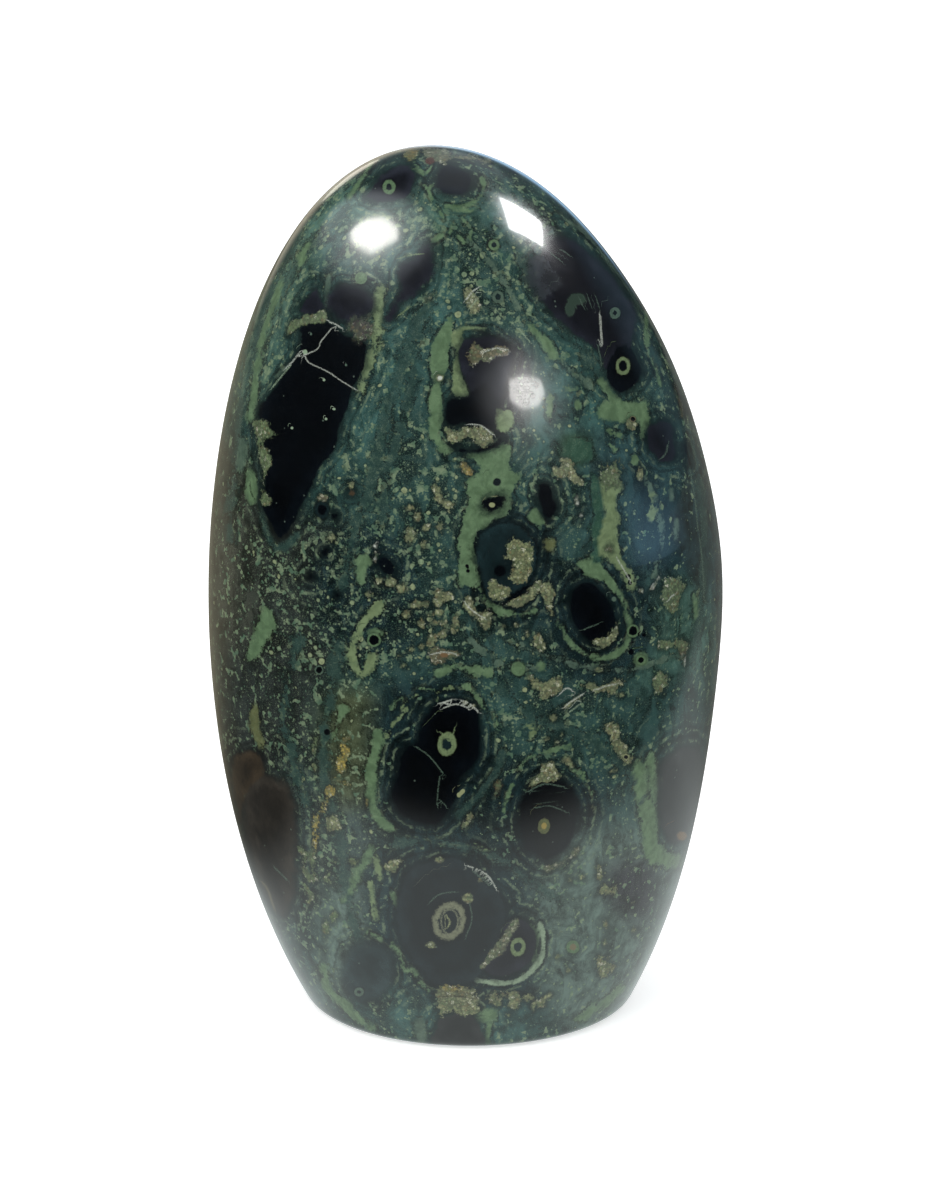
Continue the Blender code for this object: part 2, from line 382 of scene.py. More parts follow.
GREEN = """
tg w9 s6 r5 428,300 405,360 385,420 372,480 352,540 340,590
tg w7 s5 r4 300,225 275,275 258,330 244,400 234,470 230,540
tg w6 s5 r4 420,330 412,380 400,430 388,470 384,520
tg w8 s6 r5 520,260 548,300 580,350 610,380 645,398
gg w3 s2.5 r3 470,240 500,275 520,310 552,352 590,386
tg w6 s5 r4 350,205 322,235 300,262 282,292
tg w6 s5 r4 700,480 704,540 702,600 690,660
gg w3 s2.5 r3 640,470 655,500 662,540 655,575
tg w7 s5 r5 300,640 285,700 292,760 305,800
tg w8 s6 r5 340,640 330,700 322,760 330,800 340,850 352,920 372,980
gg w3 s2.5 r3 505,640 545,655 590,668 640,668 680,652
tg w8 s6 r5 500,690 540,720 600,745 640,790 650,850
gg w3 s2.5 r3 470,640 505,665 540,668
tg w6 s5 r4 390,845 440,842 490,855 530,880 560,900
lg w4 r1 482,178 484,188 479,198 470,204 458,207 447,206
lg w3 r1 455,210 468,211 478,208
lg w4 r1 372,162 362,178 349,198
lg p r2 405,150 417,150 418,160 406,160
lg p r2 296,268 300,250 310,243 308,256 300,268
lg w5 r1 441,236 432,241
cl w8 s3 r4 380,290 378,310 375,330 372,350 366,370 360,388
lg w7 s3 r2 281,285 275,300 268,320 262,340 257,360 255,380 253,400 250,418
gg w4 s2 r1 329,275 326,305
gg w4 s3 r2 262,300 254,335 247,370 240,420
lg p s3 r2 246,470 255,472 256,500 248,500
gg p s6 r2 235,440 245,440 244,470 236,470
tg w7 s4 r2 262,500 265,525 270,540 278,548 290,542 297,535
gg w3 r1 276,377 290,364
gg w3 r1 281,387 290,378
lg p s2 r2 525,320 533,322 543,335 553,345 560,356 557,360 550,358 546,349 540,341 530,332
lg p s2 r2 598,378 606,380 612,390 620,399 632,403 646,400 648,410 650,420 645,430 643,440 640,438 640,425 630,422 615,421 600,418 596,408 605,402 612,403 606,392 600,385
lg w4 r1 647,312 646,330 647,345
lg w3 r1 650,358 656,370 660,385
sg p s5 r2 565,440 590,441 590,460 567,460
sg w9 s5 r3 594,480 598,520 596,560
lg p s1.5 r2 449,316 453,320 450,340 447,365 445,375 441,383 432,378 432,360 433,345 440,330
lg p s1.5 r2 438,380 441,400 444,405 443,420 441,432 445,443 455,450 445,455 434,445 429,430 429,410 432,390
cl p s1.5 r2 453,333 462,337 462,345 458,352 460,365 464,380 470,393 463,397 452,390 453,368 456,350 453,345
cl w3 r1 459,332 465,328 485,329
cl p s1.5 r2 488,403 495,405 503,410 512,412 513,425 504,432 499,430 493,420 488,411
lg p s1.5 r2 548,393 552,398 554,410 549,420 546,410
lg p s1.5 r2.5 465,453 483,452 508,445 510,452 509,468 517,475 514,490 510,505 505,515 495,520 487,528 478,533 474,545 476,558 479,575 482,590 487,600 500,607 525,616 505,617 493,610 483,600 478,590 470,587 460,585 457,572 459,560 458,545 463,525 468,505 467,480 480,472 475,462
lg p s1.5 r1 528,515 536,508 540,515 545,523 538,525 530,521
ol o6x5 s3 r2 550,545
lg w4 s1.5 r1.5 492,605 505,612 520,615 535,611
lg o7x7 s2 r1 518,669
lg o5x5 s2 r1 541,666
lg p s2 r2.5 262,612 268,609 276,617 276,625 271,635 266,645 258,655 250,662 247,658 252,645 255,630 258,620
lg p s2 r2 357,558 367,556 373,561 367,567 364,575 365,582 360,584 357,578 356,568
cl w8 s1.5 r2.5 380,603 375,612 366,619 360,630 354,642 352,655 356,668 363,674 369,666 371,658
lg w4 r1 368,633 374,630 382,634
cl p s2 r2.5 606,470 618,472 620,485 617,495 618,505 620,520 616,535 619,548 622,558 628,566 634,575 635,584 631,589 626,583 620,573 612,563 604,558 597,552 594,543 598,532 604,520 605,505 603,495 600,485 603,477
cl p s1.5 r2 650,492 655,495 654,507 663,505 662,510 655,515 652,521 648,515 650,505
gg w4 s2 r1 671,490 672,500
gg w4 s2 r1 677,520 675,540
lg p s1.5 r1.5 576,562 585,559 595,560 605,568 612,578 618,588 624,597 628,606 625,612 621,603 615,594 606,585 597,580 588,577 583,570
lg p s1.5 r1.5 557,622 561,630 565,640 573,648 583,655 595,660 608,660 620,655 628,645 625,643 618,650 605,656 592,654 580,648 570,638 563,627
lg w4 s2 r1 625,612 630,625 628,645
lg o7x7 s3 r2 641,660
lg w4 s2 r1 695,595 696,618
ol p s2 r2 250,715 256,705 258,715 259,730 263,748 262,755 257,745 252,735 250,725
lg p s2 r2 340,705 349,709 344,718 338,728 333,738 335,727 338,714
lg p s2 r2 377,728 382,732 382,745 378,760 377,775 375,795 378,808 385,818 392,822 395,828 388,830 378,824 370,812 367,800 367,785 366,770 369,755 372,742
lg w7 s2 r2.5 440,672 455,668 475,670 488,674
lg w4 s2 r2 392,708 397,701 402,698
cl w3 s1 r2 387,735 391,727 398,720 408,708
cl w3 s1 r2 400,710 406,703 412,698 418,694
lg w3 s1 r2 415,690 425,688 434,690
cl w3 s1 r2 437,700 438,693 450,688
lg w4 s1.5 r2.5 464,685 475,693 482,705 492,715 498,724
tg w8 s6 r2 503,755 490,780 470,805 460,815
cl w4 s1 r1.5 522,728 528,725 533,731 530,737
lg w3 s1 r1.5 512,785 506,800 503,812
lg w4 s1.5 r2 520,768 530,757 545,752 570,745
lg w3 s1.5 r2 568,765 575,772 583,775 592,793
lg p s4 r2 632,765 645,765 645,800 636,798
lg w8 s3 r2 650,758 655,790 650,820 648,842
lg p s3 r2.5 641,800 656,805 658,840 670,852 682,856 680,866 655,865 644,850
lg w2 s1 r1 437,840 442,847
cl w3 s1 r1 472,842 487,850
gg w2 s1 r1 485,850 500,862
lg w7 s5 r4 370,850 358,875 345,900
cl w4 s2 r2 376,858 381,880
cl w5 s2 r2 370,883 376,918
lg w4 s2 r2 392,892 396,905
lg w3 s2 r2 367,932 381,940
lg w4 s2 r2 392,945 400,955 403,970 413,970 417,976
lg w4 s2 r2 420,982 428,990
lg w8 s3 r2 324,967 326,980 331,993 345,1005 360,1020 372,1028
wg w5 s1 r1 540,925 543,935 543,952 538,963 530,972 520,980 507,983 480,981 475,978
lg w3 s1 r1 530,925 537,935 537,948 533,960
lg w3 s1 r1 516,919 508,932 502,943
cl w5 s1 r1.5 497,942 490,950 483,958 481,965
lg w4 s1.5 r1.5 490,1022 487,1043
gg p s4 r2 415,1022 425,1020 425,1043 417,1043
lg w8 s5 r3 620,990 600,1005 580,1018
lg p s4 r3 478,1012 495,1012 496,1020 478,1020
gg w2 s0.8 r0.5 525,172 560,200 590,238 615,270 655,330
lg w2 s1 r1 410,168 420,172 425,176
lg w2 s1 r1 423,184 428,190 432,199
lg w2 s1 r1 428,190 433,184
lg w2 s1 r1 412,160 422,172
lg w2 s1 r1 432,165 426,175
lg w2 s1 r1 440,212 444,220
lg w2 s1 r1 452,222 450,232
lg w2 s1 r1 462,218 468,226
lg w2 s1 r1 472,230 470,240
lg w2 s1 r1 458,236 464,242
lg o5x5 s2 r1 494,245
lg w3 s1.5 r1.5 567,389 577,389
lg o3x5 s1 r1 577,405
lg w5 s1.5 r2 609,431 620,436
lg w4 s1.5 r2 609,443 615,450
lg o4x5 s1 r1.5 635,460
gg w2 s1.5 r1.5 555,213 570,222 590,238 607,262 628,295 650,335
"""

DARK = """
pb p s1.5 r1.5 366,197 371,189 380,177 392,169 402,166 410,168 414,176 413,186 408,196 398,199 382,201
bb p s1.5 r1 437,180 440,170 447,165 458,168 468,174 471,183 468,192 458,195 446,193 438,187
pb p s4 r2 328,300 335,290 345,286 360,288 370,296 372,308 365,316 350,322 335,318
pb p s3 r2.5 431,243 432,262 430,280 421,290 412,297 400,305 393,318 386,318 392,303 402,290 400,275 405,262 418,255 422,248
pb p s1.5 r2 302,312 303,305 310,298 313,288 320,295 322,308 314,314
bk p s1 r1.2 303,325 320,323 330,325 345,335 357,338 366,345 365,357 362,370 355,385 350,395 348,405 343,418 338,432 337,442 330,455 320,465 314,480 308,492 300,508 296,518 288,530 280,537 275,532 268,518 262,505 265,480 262,450 260,420 259,410 265,400 278,385 290,365 299,352 300,335
pb p s2 r2 545,250 552,240 570,238 580,245 597,262 612,275 622,290 632,303 636,318 634,330 630,345 605,370 600,350 575,335 565,325 550,312 542,300 536,285 535,270 541,258
dp p s8 r3 532,262 560,252 584,270 592,300 572,318 548,306 534,286
bb p s3 r2 585,258 600,266 616,284 628,300 632,318 629,338 616,344 600,330 588,300 580,275
bk p s1 r1 607,345 622,340 632,350 641,367 640,378 632,387 622,393 613,388 607,375
pb p s1.2 r1.2 648,430 655,423 665,422 672,427 673,440 675,452 672,460 662,462 655,455 649,447
pb p s1.5 r2 462,345 470,338 490,335 505,343 512,352 506,380 500,400 475,397 468,385 462,372 459,355
bk p s1.5 r1.5 468,372 480,368 498,375 500,400 496,412 493,425 480,426 462,424 450,425 445,415 449,402 462,398 470,395
bk p s1.2 r1.5 485,500 505,495 503,505 492,512 484,508
bk p s1.2 r1.2 540,485 551,487 553,498 556,508 550,519 544,513 540,500
dt p s2 r2 480,535 490,527 505,522 520,527 530,535 536,545 536,560 532,575 525,585 505,600 490,598 483,580 478,560 477,545
bk p s1.5 r1.5 497,563 504,558 512,566 510,580 518,584 505,598 515,600 525,592 530,580 524,586 508,592 496,580
bk p s1 r0.8 571,600 573,592 580,585 590,583 600,590 608,600 614,613 614,625 609,633 600,640 590,640 580,632 573,620 571,610
br p s3 r2 236,757 250,752 262,758 262,775 252,790 244,806 240,820 236,800 232,775
sl p s5 r2 246,785 262,778 282,782 292,800 295,840 294,880 290,905 283,915 272,905 262,890 252,860 244,820
bk p s1.5 r1.2 437,705 452,701 468,704 477,712 479,735 479,755 470,768 460,778 457,795 447,812 437,823 420,822 403,816 395,803 392,790 397,775 401,757 406,748 418,742 420,728 428,714
bk p s2.5 r1.5 528,790 540,782 555,780 568,785 577,800 577,820 572,840 560,855 545,860 530,852 520,835 518,815 521,800
sd p s5 r2 662,770 672,755 688,748 700,755 700,800 692,830 676,842 664,830 660,800
gd p s2 r1.5 410,870 430,862 455,858 475,868 485,885 500,895 505,915 500,935 495,950 485,965 475,980 455,985 435,982 420,968 410,955 400,935 397,910 402,890
pb p s1.2 r1 505,925 518,919 530,926 536,940 532,958 520,970 505,976 490,974 483,966 492,952 502,942
go p s6 r2 343,968 348,952 362,944 378,946 390,956 392,972 385,990 370,1000 354,996 345,984
sd p s1.5 r1.5 435,1028 440,1018 450,1014 465,1013 475,1020 480,1032 482,1045 435,1045
bk o4x5 s1 r1 322,510
bk o3x3 s1 r1 335,516
br o3x3 s1 r1 352,493
bk o3x3 s1 r1 325,552
bk o2.5x2.5 s1 r1 311,577
bk o2.5x2.5 s1 r1 337,595
bk p s1 r1 378,561 385,558 391,562 394,569 390,574 383,570
bk w2 s1 r1 685,445 690,465
bk w3 s1 r1.5 452,448 470,452 490,447 500,440
"""

CREAM = """
cl p r2 254,423 265,421 270,431 282,434 266,437 265,447 268,455 271,465 266,470 265,480 266,490 271,498 272,503 266,506 262,503 263,490 262,470 258,455 256,440
cl p r1.5 288,330 290,323 303,318 305,315 318,314 321,310 325,314 326,320 318,323 303,325 292,332 287,334
pm p s5 r4 352,322 366,318 372,330 362,340 353,338
ck p r2 425,150 448,151 447,164 436,163 426,161
ck w4 r2 447,158 470,158 490,161
cy o6x5 s2 r2 411,155
cb p s1.5 r3 470,345 473,341 480,347 495,345 505,345 511,352 500,355 490,358 478,363 471,367 470,357
cr p s1 r2.5 443,428 447,426 452,429 460,431 464,424 470,427 480,425 488,429 494,437 493,442 484,446 475,442 467,437 460,441 450,443 445,437
cr o4x3 r1 440,378
cr o5x5 r2 632,425
cy p r1.5 459,464 464,462 470,467 473,473 469,476 464,473
cr p r2.5 433,486 440,488 444,500 453,505 450,510 442,506 436,498
cr p r2.5 436,520 442,522 444,530 440,534 436,528
cr p r2.5 407,528 413,528 418,534 412,540 409,546 405,540
cr o4x4 r2 427,528
cr o4x4 r2 379,581
cr o5x4 r2 390,584
cr o4x4 r2 401,589
cr o4x3 r2 370,594
cr o4x4 r2 332,537
cr o3x3 r2 351,485
cr o4x3 r2 410,508
cr o4x5 r2 418,517
cr o3x4 r2 424,544
cr p r2.5 552,467 558,468 563,462 570,462 574,468 578,475 586,480 583,485 575,482 570,477 565,475 561,480 556,478
cr p s1.2 r3.5 505,545 512,542 516,539 525,541 532,541 534,550 531,565 527,580 520,583 512,582 508,577 513,570 515,562 510,560 504,558 508,550
cr p r2.5 489,581 497,583 505,585 511,588 508,595 499,599 492,596
cr p r2 505,605 518,598 528,590 536,583 541,581 538,592 530,601 520,606
cr p r2.5 543,585 552,584 553,600 554,615 549,612 544,600 541,592
cr p r2.5 464,600 468,596 473,600 473,607 480,612 487,609 492,614 491,624 487,629 480,624 473,617 467,610
cr o4x3 r2 418,605
cr o3x4 r2 427,604
cr o5x3 r2 438,602
cr o4x3 r2 449,597
cr w4 r2 440,612 430,614
cr o5x3 r2 435,623
cr o3x3 r2 446,623
cr o2.5x4.5 r2 455,622
cr o3x3 r2 454,631
cr o2x4 r2 422,623
cr o4x3 r2 432,636
cr o3x3 r2 443,634
cr o3x3 r2 431,642
cr o3x3 r2 421,647
cr o3x3 r2 406,614
cr o3x3 r2 437,593
cr w3 r2 400,656 413,648
cr o2.5x2 r1 403,665
cb p s1.2 r2 429,653 433,650 445,650 458,651 459,655 448,660 438,664 432,661
cr w2 r1 527,630 527,636
cr p r2.5 533,640 537,633 541,635 545,645 544,652 538,648
cr o2.5x2.5 r1 504,626
cr o2.5x2.5 r1 516,625
cb o5x4 r2 323,498
wt o3x5 r2 376,546
wt o2x3 r1 375,559
cl p r2.5 662,580 668,577 678,580 684,585 680,593 678,605 676,615 670,612 662,605 659,597 661,588
cl p r2.5 658,643 665,640 680,640 689,643 688,650 680,650 670,648 660,648
cr p r2 594,642 602,638 608,634 614,628 617,625 618,633 614,642 605,646
wt o1.8x5 r1 577,503
wt o2.5x2.5 r1 581,515
wt w2 s0.8 r1 661,575 656,583 651,590
wt o2x2 r1 641,591
wt w2 r1 684,657 685,665
cl p r3 653,678 660,672 667,678 665,687 660,692 655,686
cr p r3 526,676 530,674 535,679 545,682 558,677 560,685 557,693 545,697 540,690 532,686
cr w3 r2 565,708 575,700 582,697
cr o3.5x2 r1 600,670
cr p r3 583,687 590,682 600,685 610,682 620,680 622,684 617,690 610,694 603,692 595,693 586,690
cr o3x2 r1 622,695
cr p r3 608,725 615,723 619,732 622,742 628,752 633,760 631,764 625,763 618,755 613,745 609,735
cr o3x3 r1 553,718
cr o2x2 r1 547,739
cr o2x2 r1 557,742
cr o2x2 r1 562,734
cr p r2 528,788 532,780 538,776 541,765 548,762 554,762 557,772 562,777 552,781 538,783
cr p r2 562,760 570,758 573,766 568,768
cr o1.5x3 r1 593,808
or p s3 r3 495,785 499,783 499,795 494,795
cr o2x2 r1 611,772
cr o2x2 r1 615,770
cr p r2 462,825 466,817 470,812 475,817 465,827
cr o4x2.5 r1 440,860
wt o1.5x1.5 r1 465,868
cr o3x2.5 r1 465,703
cr o3x2.5 r1 473,706
cy w3 r1.5 343,740 349,738
yl p r2.5 342,746 350,748 352,752 346,760 345,770 340,772 337,765 341,756
yl p r2 333,778 341,778 352,784 350,788 340,784
yl p r2.5 330,787 334,793 329,798 326,807 322,812 320,806 324,798
cr p r2.5 328,818 334,815 338,822 339,828 334,832 328,830 326,824
yl p r2.5 315,816 319,822 317,830 319,842 317,850 312,846 311,835 313,825
cy w2 r1 367,800 367,806
cl p r2 312,736 318,738 316,748 313,753
cl o2x3.5 r1 315,768
cl w3 r2 300,848 306,858 303,868 310,880
cl w3 r2 314,850 312,866 316,880
cl w3 r2 304,886 312,896 308,902
cl o3x2 r2 334,862
cl o3x2 r2 354,861
cl w3 r1.5 328,875 326,880 331,884
cl o3.5x4 r2 334,916
cl o2x7 r2 325,930
cr p r2 386,866 393,860 400,857 402,862 396,868 392,872
cr o5x4.5 r1.5 467,898
cr o4.5x3.5 r1.5 431,945
ck p s1.2 r1.6 515,920 518,924 509,944 499,956 485,968 479,966 491,951 502,936
cr o2x2 r1 480,880
cw o5x4 s1.5 r3.5 492,997
cw o7x3.5 s1.5 r4 505,995
cr o4x3 r2 498,1001
cr o5x3 r2 514,1003
cr o4x3 r2 528,998
cr o4x3 r2 541,1004
cw p s1.5 r3.5 438,994 443,989 460,988 474,992 478,1002 470,1009 450,1012 440,1006
cy p r2.5 443,988 450,985 462,988 466,993 455,996 445,993
cr p r3 436,1000 443,998 452,1002 465,1003 475,1001 479,1008 474,1013 460,1012 450,1013 440,1018 437,1010
cr p r2 506,994 515,992 520,998 517,1006 511,1003
cr o1.5x3.5 r1 533,1005
cr o2x2 r1 508,1015
cr o2x2 r1 545,998
cr o2x2 r1 550,995
ck w4 s2 r2 548,868 560,864 570,858 577,850
cr p r2 597,866 602,863 603,875 598,877
cr p r2.5 601,894 603,885 608,886 613,892 615,884 613,894
cr o2x2 r1 582,877
cr o2x2 r1 570,880
cr o2.5x4 r1.5 606,925
cr o2x3 r1 605,942
cr p r3 598,960 606,958 611,966 604,976 598,970
cr o2x2 r1 557,957
cr o2x2 r1 568,970
cr o2x2 r1 633,902
cr o2x2 r1 634,930
cr o2x2 r1 430,299
cr p r2 465,287 474,290 480,302 474,311 467,303
cl p s2.5 r4.5 602,464 615,462 620,474 612,485 602,480
cr o3x6 r2 640,475
rd w3 s2 r2 674,385 679,400 681,415
rd o3x2.5 s1.5 r1 683,652
rd o3x4 s1.5 r1.5 609,548
rd o3x2 s1 r1 667,592
rd o2x3 s1 r1 672,604
"""

# eyes and small spots: x, y, outer half width and height, inner share, tilt, tone of the ring, tone inside
EYES = """
389,187 6.5,7.5 0.45 0 lg gd
361,278 6,6 0.15 0 lg lg
623,366 7.2,9.2 0.60 0 cl bk
615,313 5.5,6 0.40 0 gg bk
447,744 9.5,12 0.52 8 cl dt
544,826 6,8 0.45 10 ol cy
449,921 16,19.5 0.68 20 ck gd
518,947 7.5,9.5 0.52 10 cl dt
573,947 6.5,6.5 0.50 0 lg cb
359,992 5,4.5 0.40 0 gg gd
494,245 5.5,5.5 0.50 0 lg dt
498,297 6,6 0.50 0 gg dt
322,510 7,8.5 0.62 0 dt bk
518,669 7,7 0.30 0 lg lg
374,640 7,7 0.72 0 lg bk
633,631 6,6.5 0.72 0 lg bk
641,660 5,5 0.60 0 lg bk
319,670 4.5,4.5 0.70 0 gg bk
633,419 3,3 0.80 0 cb bk
626,757 3,3 0.70 0 cr bk
"""

# plain dark or pale spots: x, y, half width and height, tone
# the small dark spots at 515 to 537 across and 379 to 404 down lie in the front box's mirror image: pits, dented by the
# bump further on, and painted dark as they show against that highlight, a painted shade
SPOTS = """
577,299 9,6 dg
570,309 5,8 dg
633,631 3.4,4 bk
631,652 3,3 bk
628,576 2.6,2.2 bk
630,583 2,2 bk
500,571 6,5.5 bk
327,732 3,3 bk
644,635 2,2 bk
614,599 2.4,2.4 gg
430,161 4.5,3.5 rd
311,334 1.1,1.1 gg
346,365 1.2,1.1 gg
324,380 1.3,1.2 wg
334,409 1.5,1.2 wg
326,419 1.3,1.3 wg
292,428 1.4,1.3 wg
467,566 1.8,1.8 bk
468,571 1.8,1.8 bk
497,482 4,4 gd
492,505 3,2.4 cr
459,795 2.2,2.4 cr
463,791 2,2 cr
518,381 2.4,1.8 dt
527,388 3,2 dt
533,396 2.6,2.2 dt
520,398 2,2 dt
526,404 2.4,1.6 dt
537,384 1.8,1.8 dt
515,390 1.8,1.6 dt
530,379 2,1.4 dt
682,836 5,4.4 or
444,655 4,2.4 or
305,352 2.4,2.4 wg
440,378 2.4,2 wt
"""

# fine lines: tone, width, points
# the next stroke, on the top of the eye at 447,744, is a painted highlight
# the next white line, on the black body at 600,315 to 345, is partly a scratch and partly a painted highlight
LINES = """
wt w1.6 440,704 452,700 466,702 478,711
wt w1.3 444,708 456,704 468,708
gg w1.4 528,792 544,784 564,787
wt w1.4 468,866 486,874 496,888
gg w1.2 474,872 488,884
ck w1.5 449,909 443,914 441,922 444,931 450,934 456,929 458,920 455,912 449,909
cr w1.6 447,917 450,922 448,927
wt w1.2 560,694 566,688 572,690
wt w1.4 565,706 575,699 583,694
wg w1.2 570,712 580,704
wt w1.2 596,690 606,686 616,684
wt w1.2 466,300 472,292 478,288
wg w1.2 470,308 478,298
wt w1.1 484,352 496,348 506,350
wt w1.1 470,424 482,426 492,434
wt w1.2 466,604 474,612 484,618
wt w1.2 432,654 444,652 456,654
wt w1.3 300,352 292,362 282,372
wg w1.2 290,366 280,378 272,388
wg w1.0 520,330 530,342
gg w0.9 552,254 562,262
gg w0.9 562,250 570,256
gg w1.0 440,800 446,806
gg w1.2 690,470 695,500 698,530
gg w1.4 700,540 703,570 704,600
wt w1.2 668,600 674,594
wt w1.2 618,560 624,570 630,580
wg w1.2 244,300 236,330 228,365
gg w1.4 240,310 230,350 222,400
wt w1.3 329,322 335,324 341,328
wt w0.9 331,329 327,334 321,341 319,347 316,350 309,353 302,356
wt w0.8 305,355 308,362 318,367 330,373 343,382 355,389
cl w1.4 400,258 410,255 420,254
cl w1.6 400,315 409,307
gg w1.2 418,748 430,757 443,773
gg w1.2 440,775 438,790 437,805
cl w1.6 441,733 445,736 448,740
gg w1.2 583,630 590,627 598,624
gg w0.9 580,299 583,307
gg w0.9 588,297 591,306
gg w0.9 596,297 599,307
wt w1.8 600,315 601,330 602,345
gg w1.2 598,346 600,355 601,365
gg w1.6 668,444 666,453 662,458
gg w1.4 275,868 281,874 287,880
cb w1.8 262,882 268,890 272,902 275,910
gg w1.2 636,738 639,730 642,725 650,718
br w1.4 441,997 452,996 465,997
bk w1.4 250,485 251,492 253,497
bk w1.2 530,795 545,800 560,797
gg w1.0 535,808 550,806 566,812
cl w1.2 453,734 455,729
gg w1.0 430,902 440,894 455,892
gg w1.0 470,905 472,920 466,936
"""

green = Markings(1.5, 2.0)
green.draw(GREEN)
dark = Markings(1.5, 1.5)
dark.draw(DARK)
cream = Markings(1.2, 2.5)
cream.draw(CREAM)

# =============================================================================
# The markings of the back and the sides, placed on the surface itself:
# phi is degrees round from the front towards the right, z the height
# =============================================================================
rng = np.random.default_rng(20411)


def place(phi, z):
    th = math.radians(phi - 90)
    return surface(np.array([z]), np.array([th]))[0], surface_normal(np.array([z]), np.array([th]))[0]


def tangents(n):
    right = np.cross([0, 0, 1.0], n)
    if np.linalg.norm(right) < 1e-3:
        right = np.array([1.0, 0, 0])
    right /= np.linalg.norm(right)
    return right, np.cross(n, right)


back_penalty = np.clip(facing - 0.02, 0, None) * 120.0 + np.clip(facing - 0.16, 0, None) * 500.0
eye_off = np.full((N, 2), 9.0)
eye_rank = np.full(N, 99.0)
eye_ratio = np.full(N, 0.5)
eye_ring = np.zeros((N, 3))
eye_core = np.zeros((N, 3))
spot_off = np.full((N, 2), 9.0)
spot_rank = np.full(N, 99.0)
spot_rgb = np.zeros((N, 3))


def put_eye(index, off, ratio, ring, core, reach=3.0):
    size = np.linalg.norm(off, axis=1)
    near = (size < reach) & (size < eye_rank[index])
    j = index[near]
    eye_rank[j] = size[near]
    eye_off[j] = off[near]
    eye_ratio[j] = ratio
    eye_ring[j] = TONE[ring]
    eye_core[j] = TONE[core]


for line in EYES.strip().splitlines():
    at, half, ratio, tilt, ring, core = line.split()
    at, half = (np.array([float(x) for x in w.split(",")]) for w in (at, half))
    index = np.nonzero((facing > 0.02) & (np.abs(spot - at) < half * 4).all(1))[0]
    a = math.radians(float(tilt))
    off = (spot[index] - at) @ np.array([[math.cos(a), -math.sin(a)], [math.sin(a), math.cos(a)]]) / half
    put_eye(index, off, float(ratio), ring, core)

for line in SPOTS.strip().splitlines():
    at, half, tone = line.split()
    at, half = (np.array([float(x) for x in w.split(",")]) for w in (at, half))
    index = np.nonzero((facing > 0.02) & (np.abs(spot - at) < half * 5).all(1))[0]
    off = (spot[index] - at) / half
    size = np.linalg.norm(off, axis=1)
    near = (size < 4) & (size < spot_rank[index])
    j = index[near]
    spot_rank[j], spot_off[j], spot_rgb[j] = size[near], off[near], TONE[tone]

# dark orbs: phi, z, half width, half height, tone, eye radius (0 for none)
ORBS = (
    (176, 99, 10.5, 14.0, "bk", 2.3), (204, 66, 8.5, 10.0, "pb", 1.7), (152, 52, 8.0, 9.5, "bk", 1.8),
    (228, 104, 6.5, 9.0, "gd", 1.4), (139, 122, 6.0, 7.5, "bb", 1.2), (191, 31, 10.5, 9.0, "gd", 2.7),
    (124, 84, 6.0, 10.0, "pb", 0.0), (112, 38, 8.0, 7.5, "gd", 1.6), (104, 108, 5.0, 8.0, "bk", 1.1),
    (243, 44, 7.5, 11.0, "gd", 1.7), (258, 88, 6.0, 9.5, "bk", 0.0), (232, 18, 8.0, 5.5, "pb", 1.3),
    (161, 139, 7.5, 5.0, "pb", 1.0), (216, 133, 7.0, 5.5, "bk", 1.1), (151, 15, 6.5, 5.5, "bk", 1.2),
    (171, 73, 4.5, 4.0, "bb", 0.9), (219, 86, 3.6, 4.4, "bk", 0.8), (132, 66, 3.0, 3.8, "bk", 0.0),
    (265, 118, 4.0, 6.0, "pb", 0.9), (266, 26, 5.0, 7.0, "br", 0.0), (97, 66, 4.2, 5.6, "bk", 1.0),
    (98, 18, 5.0, 5.0, "gd", 1.1), (180, 118, 2.6, 3.0, "bk", 0.7), (205, 118, 2.4, 3.2, "bb", 0.0),
)
for phi, z, rx, rz, tone, eye in ORBS:
    at, n = place(phi, z)
    right, up = tangents(n)
    rel = points - at
    index = np.nonzero((np.linalg.norm(rel, axis=1) < 3.2 * max(rx, rz)) & (normals @ n > -0.2) & (facing < 0.3) & (facing > -0.999))[0]
    lean = math.radians(rng.uniform(-25, 25))
    q = np.stack([rel[index] @ right, rel[index] @ up], 1)
    q = q @ np.array([[math.cos(lean), -math.sin(lean)], [math.sin(lean), math.cos(lean)]])
    angle = np.arctan2(q[:, 1], q[:, 0])
    waves = 1 + sum(rng.uniform(0.02, 0.13) / (k - 1) * np.cos(k * angle + rng.uniform(0, 6.28)) for k in (2, 3, 4, 5))
    d = (np.sqrt((q[:, 0] / rx) ** 2 + (q[:, 1] / rz) ** 2) / waves - 1) * min(rx, rz) * PX
    dark.put(index, d + back_penalty[index], tone, 1.6, 1.6)
    # a pale line lies round part of the orb
    if rx > 4:
        width = rng.uniform(2.5, 5.0)
        part = np.cos(angle - rng.uniform(0, 6.28)) * 9 - 3
        gap = rng.uniform(8, 16)
        green.put(index, np.abs(d - gap) - width + np.clip(part, 0, None) * 3 + back_penalty[index], rng.choice(["lg", "gg", "tg", "lg", "sg"]), 2.0, 3.4)
    if eye:
        put_eye(index, (q + rng.uniform(-0.25, 0.25, 2) * (rx, rz)) / (eye * rng.uniform(0.8, 1.1), eye * rng.uniform(0.8, 1.3)), rng.uniform(0.3, 0.72), rng.choice(["cl", "gg", "lg", "gg", "wg"]), rng.choice(["dt", "gd", "bk", "ol"]))
        eye_off[index[back_penalty[index] > 30]] = 9.0

